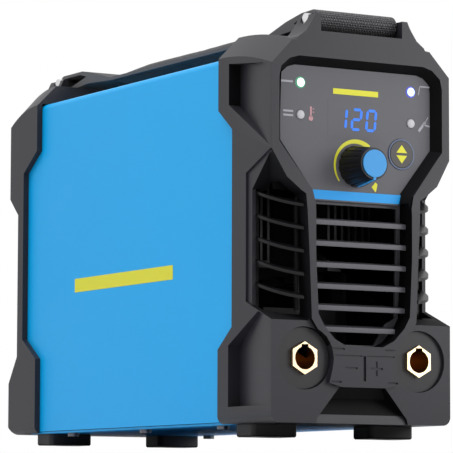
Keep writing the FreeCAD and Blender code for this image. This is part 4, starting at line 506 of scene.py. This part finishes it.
# Painted shade on the recess, hollows, corner line, scoop, vents and case inside; darker brass as painted shade in the
# bores.
for node, coat, test in (
    ("front_frame", "paintedRecessShade", inRecess),
    ("front_frame", "paintedShade", inHollow),
    ("front_frame", "paintedShade", onCornerLine),
    ("front_frame", "paintedRecessShade", inScoop),
    ("front_frame", "paintedShade", inVent),
    ("cover", "paintedShade", inCover),
    ("base_tray", "paintedShade", inTray),
    ("negative_socket", "brassBoreShade", inBore(-1)),
    ("positive_socket", "brassBoreShade", inBore(1)),
):
    repaint(node, coat, test)

print("stage: printed panel")


def solidOf(outlines, toPoint, low, high):
    # Closed outlines in a plane, made into plates between two levels.
    work = bmesh.new()
    for outline in outlines:
        below = [work.verts.new(toPoint(a, b, low)) for a, b in outline]
        above = [work.verts.new(toPoint(a, b, high)) for a, b in outline]
        count = len(outline)
        work.faces.new(above)
        work.faces.new(list(reversed(below)))
        for index in range(count):
            after = (index + 1) % count
            work.faces.new((below[index], below[after], above[after], above[index]))
    bmesh.ops.recalc_face_normals(work, faces=work.faces)
    mesh = bpy.data.meshes.new("plate")
    work.to_mesh(mesh)
    work.free()
    return mesh


def print2d(name, outlines, coat, face=6.3, thickness=0.12, body="housing"):
    mesh = solidOf(outlines, lambda x, z, y: at(x, y, z), face, face - thickness)
    made(name, mesh, body, coat)


def ring2d(centre, inner, outer, start, end, steps=40):
    # A band along an arc in degrees, with its own inner and outer radius at each end.
    def edge(radii, t):
        angle = math.radians(start + (end - start) * t)
        radius = radii[0] + (radii[1] - radii[0]) * t
        return centre[0] + radius * math.cos(angle), centre[1] + radius * math.sin(angle)

    out = [edge(outer, index / steps) for index in range(steps + 1)]
    back = [edge(inner, index / steps) for index in range(steps, -1, -1)]
    return out + back


def bar2d(x0, x1, z0, z1):
    return [(x0, z0), (x1, z0), (x1, z1), (x0, z1)]


def line2d(x0, z0, x1, z1, width):
    along = Vector((x1 - x0, z1 - z0)).normalized() * width / 2
    return [(x0 + along.y, z0 - along.x), (x1 + along.y, z1 - along.x), (x1 - along.y, z1 + along.x),
            (x0 - along.y, z0 + along.x)]


def disc2d(x, z, radius, steps=24):
    return [(x + radius * math.cos(2 * math.pi * k / steps), z + radius * math.sin(2 * math.pi * k / steps))
            for k in range(steps)]


# Strokes of a seven-segment digit: x0, z0, x1, z1 in a cell one wide and two high.
strokes = {"a": (0, 2, 1, 2), "b": (1, 1, 1, 2), "c": (1, 0, 1, 1), "d": (0, 0, 1, 0), "e": (0, 0, 0, 1),
           "f": (0, 1, 0, 2), "g": (0, 1, 1, 1)}
digits = {"1": "bc", "2": "abged", "0": "abcdef"}
reading = dict(text="120", left=-13.0, pitch=9.9, width=5.7, height=11.4, base=167.5, stroke=1.65, slant=0.1,
               gap=0.22)


def readingOutlines():
    tall = reading["height"] / 2
    outlines = []
    for place, digit in enumerate(reading["text"]):
        left = reading["left"] + place * reading["pitch"]
        for stroke in digits[digit]:
            x0, z0, x1, z1 = strokes[stroke]
            first, last = [
                Vector((left + x * reading["width"] + z * tall * reading["slant"], reading["base"] + z * tall))
                for x, z in ((x0, z0), (x1, z1))
            ]
            way = (last - first).normalized()
            out = Vector((-way.y, way.x)) * reading["stroke"] / 2
            cutBack = way * reading["stroke"] / 2
            start, end = first + way * reading["gap"], last - way * reading["gap"]
            outlines.append([tuple(v) for v in (start, start + cutBack - out, end - cutBack - out, end,
                                                end - cutBack + out, start + cutBack + out)])
    return outlines


dial = (0, 146.4)
key = dict(x=30.7, half=3.7, upBase=156.0, upTip=160.6, downBase=154.5, downTip=149.9)
panelPrints = {
    "panelBar": dict(outlines=[bar2d(-15.5, 15.0, 187.0, 190.2)], coat="yellow"),
    "nameStrip": dict(outlines=[[(-29.0, 126.4), (29.8, 126.4), (33.3, 131.6), (-31.6, 131.6)]], coat="stripBlue",
                      thickness=0.2),
    "dialArc": dict(outlines=[ring2d(dial, (14.1, 12.7), (14.9, 15.6), 218, 52),
                              ring2d(dial, (15.4, 15.3), (17.2, 19.3), -33, -47, 8)], coat="yellow"),
    "window": dict(outlines=[bar2d(-19.0, 16.5, 162.0, 183.5)], coat="panel", thickness=0.05),
    "readout": dict(outlines=readingOutlines(), coat="digit", face=6.25, thickness=0.1),
    "pictograms": dict(outlines=[
        bar2d(-50.4, -42.4, 191.4, 192.5),
        bar2d(-48.8, -42.2, 174.6, 175.7),
        bar2d(-48.8, -42.2, 172.2, 173.3),
        line2d(42.8, 190.4, 43.8, 195.6, 0.6),
        line2d(43.6, 195.5, 50.6, 195.5, 0.8),
        line2d(43.0, 169.4, 47.6, 175.0, 1.5),
        line2d(46.2, 173.4, 50.6, 172.6, 0.9),
        line2d(47.2, 174.6, 49.6, 178.0, 0.5),
    ], coat="paleInk"),
    "thermometer": dict(outlines=[
        bar2d(-31.0, -29.8, 173.0, 178.6),
        disc2d(-30.4, 171.9, 1.5),
        bar2d(-29.2, -28.2, 177.0, 177.6),
        bar2d(-29.2, -28.2, 175.2, 175.8),
    ], coat="pinkInk"),
    "keyMarks": dict(outlines=[
        [(key["x"] - key["half"], key["upBase"]), (key["x"] + key["half"], key["upBase"]), (key["x"], key["upTip"])],
        [(key["x"] - key["half"], key["downBase"]), (key["x"], key["downTip"]),
         (key["x"] + key["half"], key["downBase"])],
    ], coat="yellow", face=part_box("mode_button")[0].y * 1000 + bench["y"], body="mode_button"),
}
for name, values in panelPrints.items():
    print2d(name, **values)

sideMark = dict(front=118, back=242, low=87.0, high=95.5, inner=-56.1, outer=-56.25)
made("sideBar", solidOf([bar2d(sideMark["front"], sideMark["back"], sideMark["low"], sideMark["high"])],
                        lambda y, z, x: at(x, y, z), sideMark["inner"], sideMark["outer"]), "housing", "yellow")

print("stage: lamps")
lampDome = dict(radius=2.45, rise=0.5, base=5.8, rings=8, steps=32, shading=50)
halo = dict(inner=2.55, outer=3.3, steps=24, thickness=0.05)
lampPlaces = {
    "power_lamp": dict(x=-37.4, z=191.8, coat="greenLamp", glow="greenGlow"),
    "fault_lamp": dict(x=-37.4, z=173.5, coat="lampOff", glow=None),
    "stick_lamp": dict(x=37.4, z=191.8, coat="blueLamp", glow="blueGlow"),
    "lift_lamp": dict(x=37.4, z=173.5, coat="lampOff", glow=None),
}


def dome(name, x, z, coat):
    work = bmesh.new()
    rings, steps = lampDome["rings"], lampDome["steps"]
    rows = []
    for ring in range(rings):
        t = ring / rings * math.pi / 2
        level, wide = lampDome["base"] - lampDome["rise"] * math.sin(t), lampDome["radius"] * math.cos(t)
        rows.append([work.verts.new(at(x + wide * math.cos(2 * math.pi * k / steps), level,
                                       z + wide * math.sin(2 * math.pi * k / steps))) for k in range(steps)])
    tip = work.verts.new(at(x, lampDome["base"] - lampDome["rise"], z))
    for ring in range(rings):
        for k in range(steps):
            after = (k + 1) % steps
            if ring == rings - 1:
                work.faces.new((rows[ring][k], rows[ring][after], tip))
            else:
                work.faces.new((rows[ring][k], rows[ring][after], rows[ring + 1][after], rows[ring + 1][k]))
    work.faces.new(list(reversed(rows[0])))
    bmesh.ops.recalc_face_normals(work, faces=work.faces)
    mesh = bpy.data.meshes.new(name)
    work.to_mesh(mesh)
    work.free()
    smooth(mesh, lampDome["shading"])
    made(name, mesh, "housing", coat)


for node, values in lampPlaces.items():
    x, z, name = values["x"], values["z"], node.replace("_", "")
    dome(name + "Dome", x, z, values["coat"])
    if values["glow"]:
        halves = [ring2d((x, z), (halo["inner"], halo["inner"]), (halo["outer"], halo["outer"]), start, start + 180,
                         halo["steps"]) for start in (0, 180)]
        print2d(name + "Halo", halves, values["glow"], thickness=halo["thickness"])

print("stage: strap")
strapBand = dict(ribs=30, ribDepth=0.00022, perRib=4, step=0.0016, merge=0.000005, flat=0.00001)


def loopsOf(node):
    # The boundary loops of a CAD node's flat end at its highest x, as lists of y and z, the longest first.
    work = bmesh.new()
    work.from_mesh(nodes[node].data)
    bmesh.ops.remove_doubles(work, verts=work.verts, dist=strapBand["merge"])
    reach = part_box(node)[1].x
    flat = [face for face in work.faces if all(abs(v.co.x - reach) < strapBand["flat"] for v in face.verts)]
    inFlat = set(flat)
    rim = [edge for face in flat for edge in face.edges
           if sum(1 for other in edge.link_faces if other in inFlat) == 1]
    joined = {}
    for edge in rim:
        a, b = edge.verts
        joined.setdefault(a, []).append(b)
        joined.setdefault(b, []).append(a)
    loops = []
    left = set(joined)
    while left:
        loop = [min(left, key=lambda v: (v.co.y, v.co.z))]
        left.discard(loop[0])
        onward = [v for v in joined[loop[-1]] if v in left]
        while onward:
            loop.append(onward[0])
            left.discard(onward[0])
            onward = [v for v in joined[loop[-1]] if v in left]
        loops.append([(v.co.y, v.co.z) for v in loop])
    work.free()
    return sorted(loops, key=len, reverse=True)


def spaced(loop, step):
    # The closed loop again, with points about one step apart and its corners kept.
    points = []
    count = len(loop)
    for index in range(count):
        here, there = Vector(loop[index]), Vector(loop[(index + 1) % count])
        parts = max(1, round((there - here).length / step))
        points += [here.lerp(there, k / parts) for k in range(parts)]
    return points


def outwardOf(points):
    # The normals of a closed outline, away from what it encloses.
    count = len(points)
    area = sum(points[k].cross(points[(k + 1) % count]) for k in range(count))
    turn = 1 if area > 0 else -1
    ways = [(points[(k + 1) % count] - points[k - 1]).normalized() for k in range(count)]
    return [Vector((way.y, -way.x)) * turn for way in ways]


def travelOf(points):
    # How far along a closed outline each point lies, with its whole length at the end.
    travelled = [0.0]
    for k in range(len(points)):
        travelled.append(travelled[-1] + (points[(k + 1) % len(points)] - points[k]).length)
    return travelled


def ribDip(column, columns):
    # How far the band lies below its ribs' tops; its edges lie lowest.
    if column in (0, columns):
        return strapBand["ribDepth"]
    phase = column / strapBand["perRib"]
    return strapBand["ribDepth"] * (1 - abs(math.sin(math.pi * phase)))


def ribbedBand(node, name):
    # The band again from its outline, with ribs along it, and a UV that counts ribs across and millimetres along.
    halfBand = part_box(node)[1].x
    columns = strapBand["ribs"] * strapBand["perRib"]
    work = bmesh.new()
    uvLayer = work.loops.layers.uv.new("band")
    rims = {0: [], columns: []}
    for index, loop in enumerate(loopsOf(node)):
        points = spaced(loop, strapBand["step"])
        count = len(points)
        outward, travelled = outwardOf(points), travelOf(points)
        grid = []
        for column in range(columns + 1):
            x = -halfBand + 2 * halfBand * column / columns
            inward = ribDip(column, columns) * (-1 if index else 1)  # every loop after the first is an eye
            spots = [points[k] - outward[k] * inward for k in range(count)]
            grid.append([work.verts.new((x, spot.x, spot.y)) for spot in spots])
        for column in range(columns):
            for k in range(count):
                after = (k + 1) % count
                face = work.faces.new((grid[column][k], grid[column][after], grid[column + 1][after],
                                       grid[column + 1][k]))
                face.smooth = True
                places = ((column, k), (column, k + 1), (column + 1, k + 1), (column + 1, k))
                for corner, (c, t) in zip(face.loops, places):
                    corner[uvLayer].uv = (c / strapBand["perRib"], travelled[t] * 1000)
        for column in rims:
            rims[column].append(grid[column])
    for loops in rims.values():
        edges = [work.edges.get((row[k], row[(k + 1) % len(row)])) for row in loops for k in range(len(row))]
        bmesh.ops.triangle_fill(work, use_beauty=True, use_dissolve=False, edges=edges)
    bmesh.ops.recalc_face_normals(work, faces=work.faces)
    mesh = bpy.data.meshes.new(name)
    work.to_mesh(mesh)
    work.free()
    return mesh


strapWeb = made("strapWeb", ribbedBand("strap_webbing", "strapBand"), "housing", "webbing")
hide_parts("strap_webbing")
print("   band", len(strapWeb.data.polygons))

pad = dict(start=61.0, end=252.5, half=27.0, thick=6.6, level=225.4, inset=0.8, rows=48, steps=28, squareness=1.7,
           endRows=3, endDraw=0.35, endTuck=1.2, shading=60)
padAir = dict(voxel=0.004, pressure=4.0, quality=6, frames=20, cap=0.003)


def padForm():
    # A flat pillow whose two ends draw in.
    work = bmesh.new()
    rows, steps = pad["rows"], pad["steps"]
    rings = []
    for row in range(rows + 1):
        t = row / rows
        y = pad["start"] + pad["inset"] + (pad["end"] - pad["start"] - 2 * pad["inset"]) * t
        near = min(t, 1 - t) * rows
        draw = 1 - pad["endDraw"] * max(0.0, 1 - near / pad["endRows"]) ** 2
        half, high = pad["half"] - pad["endTuck"] * (1 - draw), pad["thick"] / 2 * draw
        ring = []
        for k in range(steps):
            angle = 2 * math.pi * k / steps
            c, s = math.cos(angle), math.sin(angle)
            x = (half - high) * max(-1, min(1, pad["squareness"] * c)) + high * c
            ring.append(work.verts.new(at(x, y, pad["level"] + high * s)))
        rings.append(ring)
    for row in range(rows):
        for k in range(steps):
            after = (k + 1) % steps
            work.faces.new((rings[row][k], rings[row][after], rings[row + 1][after], rings[row + 1][k]))
    work.faces.new(rings[0])
    work.faces.new(list(reversed(rings[-1])))
    bmesh.ops.recalc_face_normals(work, faces=work.faces)
    mesh = bpy.data.meshes.new("padForm")
    work.to_mesh(mesh)
    work.free()
    return mesh


def inflated(item):
    # Air pressed into the form for a few frames, with no point moved further than the cap.
    remesh = item.modifiers.new("remesh", "REMESH")
    remesh.mode = "VOXEL"
    remesh.voxel_size = padAir["voxel"]
    settled(item)
    before = [v.co.copy() for v in item.data.vertices]
    cloth = item.modifiers.new("cloth", "CLOTH")
    cloth.settings.use_pressure = True
    cloth.settings.uniform_pressure_force = padAir["pressure"]
    cloth.settings.effector_weights.gravity = 0
    cloth.settings.quality = padAir["quality"]
    cloth.point_cache.frame_start = 1
    cloth.point_cache.frame_end = padAir["frames"]
    for step in range(1, padAir["frames"] + 1):
        scene.frame_set(step)
    settled(item)
    scene.frame_set(1)
    for vertex, old in zip(item.data.vertices, before):
        move = vertex.co - old
        if move.length > padAir["cap"]:
            vertex.co = old + move.normalized() * padAir["cap"]


padItem = bpy.data.objects.new("strapPad", padForm())
scene.collection.objects.link(padItem)
inflated(padItem)
soften = padItem.modifiers.new("soften", "SUBSURF")
soften.levels = soften.render_levels = 1
settled(padItem)
padItem.data.materials.clear()
padItem.data.materials.append(coats["pad"])
smooth(padItem.data, pad["shading"])
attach(padItem, "housing")
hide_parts("strap_sleeve")

print("stage: room and camera")
shot = dict(lens=239.24, sensor=36.0, place=(-0.92728, -1.57738, -0.04551), yaw=0.5328709, pitch=0.0965258,
            roll=0.0030464)  # millimetres, metres and radians
cameraData = bpy.data.cameras.new("camera")
cameraData.lens = shot["lens"]
cameraData.sensor_width = shot["sensor"]
camera = bpy.data.objects.new("camera", cameraData)
scene.collection.objects.link(camera)
yaw, pitch, roll = shot["yaw"], shot["pitch"], shot["roll"]
forward = Vector((math.sin(yaw) * math.cos(pitch), math.cos(yaw) * math.cos(pitch), math.sin(pitch)))
right = Vector((math.cos(yaw), -math.sin(yaw), 0))
up = right.cross(forward)
acrossView = math.cos(roll) * right + math.sin(roll) * up
upView = math.cos(roll) * up - math.sin(roll) * right
turn = Matrix((acrossView, upView, -forward)).transposed().to_4x4()
camera.matrix_world = Matrix.Translation(shot["place"]) @ turn
scene.camera = camera
scene.view_settings.view_transform = "Standard"

room = dict(light=(0.5, 0.5, 0.52, 1), seen=(1, 1, 1, 1), floor=(0.9, 0.9, 0.9, 1), floorRoughness=0.9,
            floorSpecular=0.1, reach=3.0)
world = bpy.data.worlds.new("room")
scene.world = world
world.use_nodes = True
tree = world.node_tree
background = tree.nodes["Background"]
path = tree.nodes.new("ShaderNodeLightPath")
seen = mathNode(tree, "MAXIMUM", path.outputs["Is Camera Ray"], path.outputs["Is Glossy Ray"])
seen = mathNode(tree, "MAXIMUM", seen, path.outputs["Is Transmission Ray"])
mix = tree.nodes.new("ShaderNodeMix")
mix.data_type = "RGBA"
tree.links.new(seen, mix.inputs["Factor"])
mix.inputs["A"].default_value = room["light"]
mix.inputs["B"].default_value = room["seen"]
tree.links.new(mix.outputs["Result"], background.inputs["Color"])

floorMesh = bpy.data.meshes.new("floor")
corners = [(x * room["reach"], y * room["reach"], 0) for x, y in ((-1, -1), (1, -1), (1, 1), (-1, 1))]
floorMesh.from_pydata(corners, [], [(0, 1, 2, 3)])
floor = bpy.data.objects.new("floor", floorMesh)
scene.collection.objects.link(floor)
floorCoat = bpy.data.materials.new("floorCoat")
floorCoat.use_nodes = True
tree = floorCoat.node_tree
shader = tree.nodes["Principled BSDF"]
shader.inputs["Base Color"].default_value = room["floor"]
shader.inputs["Roughness"].default_value = room["floorRoughness"]
shader.inputs["Specular IOR Level"].default_value = room["floorSpecular"]
clear = tree.nodes.new("ShaderNodeBsdfTransparent")
side = tree.nodes.new("ShaderNodeNewGeometry")
blend = tree.nodes.new("ShaderNodeMixShader")
tree.links.new(side.outputs["Backfacing"], blend.inputs[0])  # clear from below, for a camera under the floor
tree.links.new(shader.outputs[0], blend.inputs[1])
tree.links.new(clear.outputs[0], blend.inputs[2])
tree.links.new(blend.outputs[0], tree.nodes["Material Output"].inputs["Surface"])
floorMesh.materials.append(floorCoat)

lamps = {
    "frontRight": dict(place=(0.55, -0.6, 0.35), size=0.5, energy=4.2),
    "top": dict(place=(-0.35, -0.1, 1.3), size=1.2, energy=17.0),
    "rearLeft": dict(place=(-1.2, 0.9, 0.9), size=0.8, energy=2.5),
}
lampAim = Vector((0, 0, 0.12))
for name, values in lamps.items():
    data = bpy.data.lights.new(name, "AREA")
    data.size = values["size"]
    data.energy = values["energy"]
    lamp = bpy.data.objects.new(name, data)
    scene.collection.objects.link(lamp)
    lamp.location = values["place"]
    lamp.rotation_euler = (lampAim - lamp.location).to_track_quat("-Z", "Y").to_euler()

print("stage: finish")
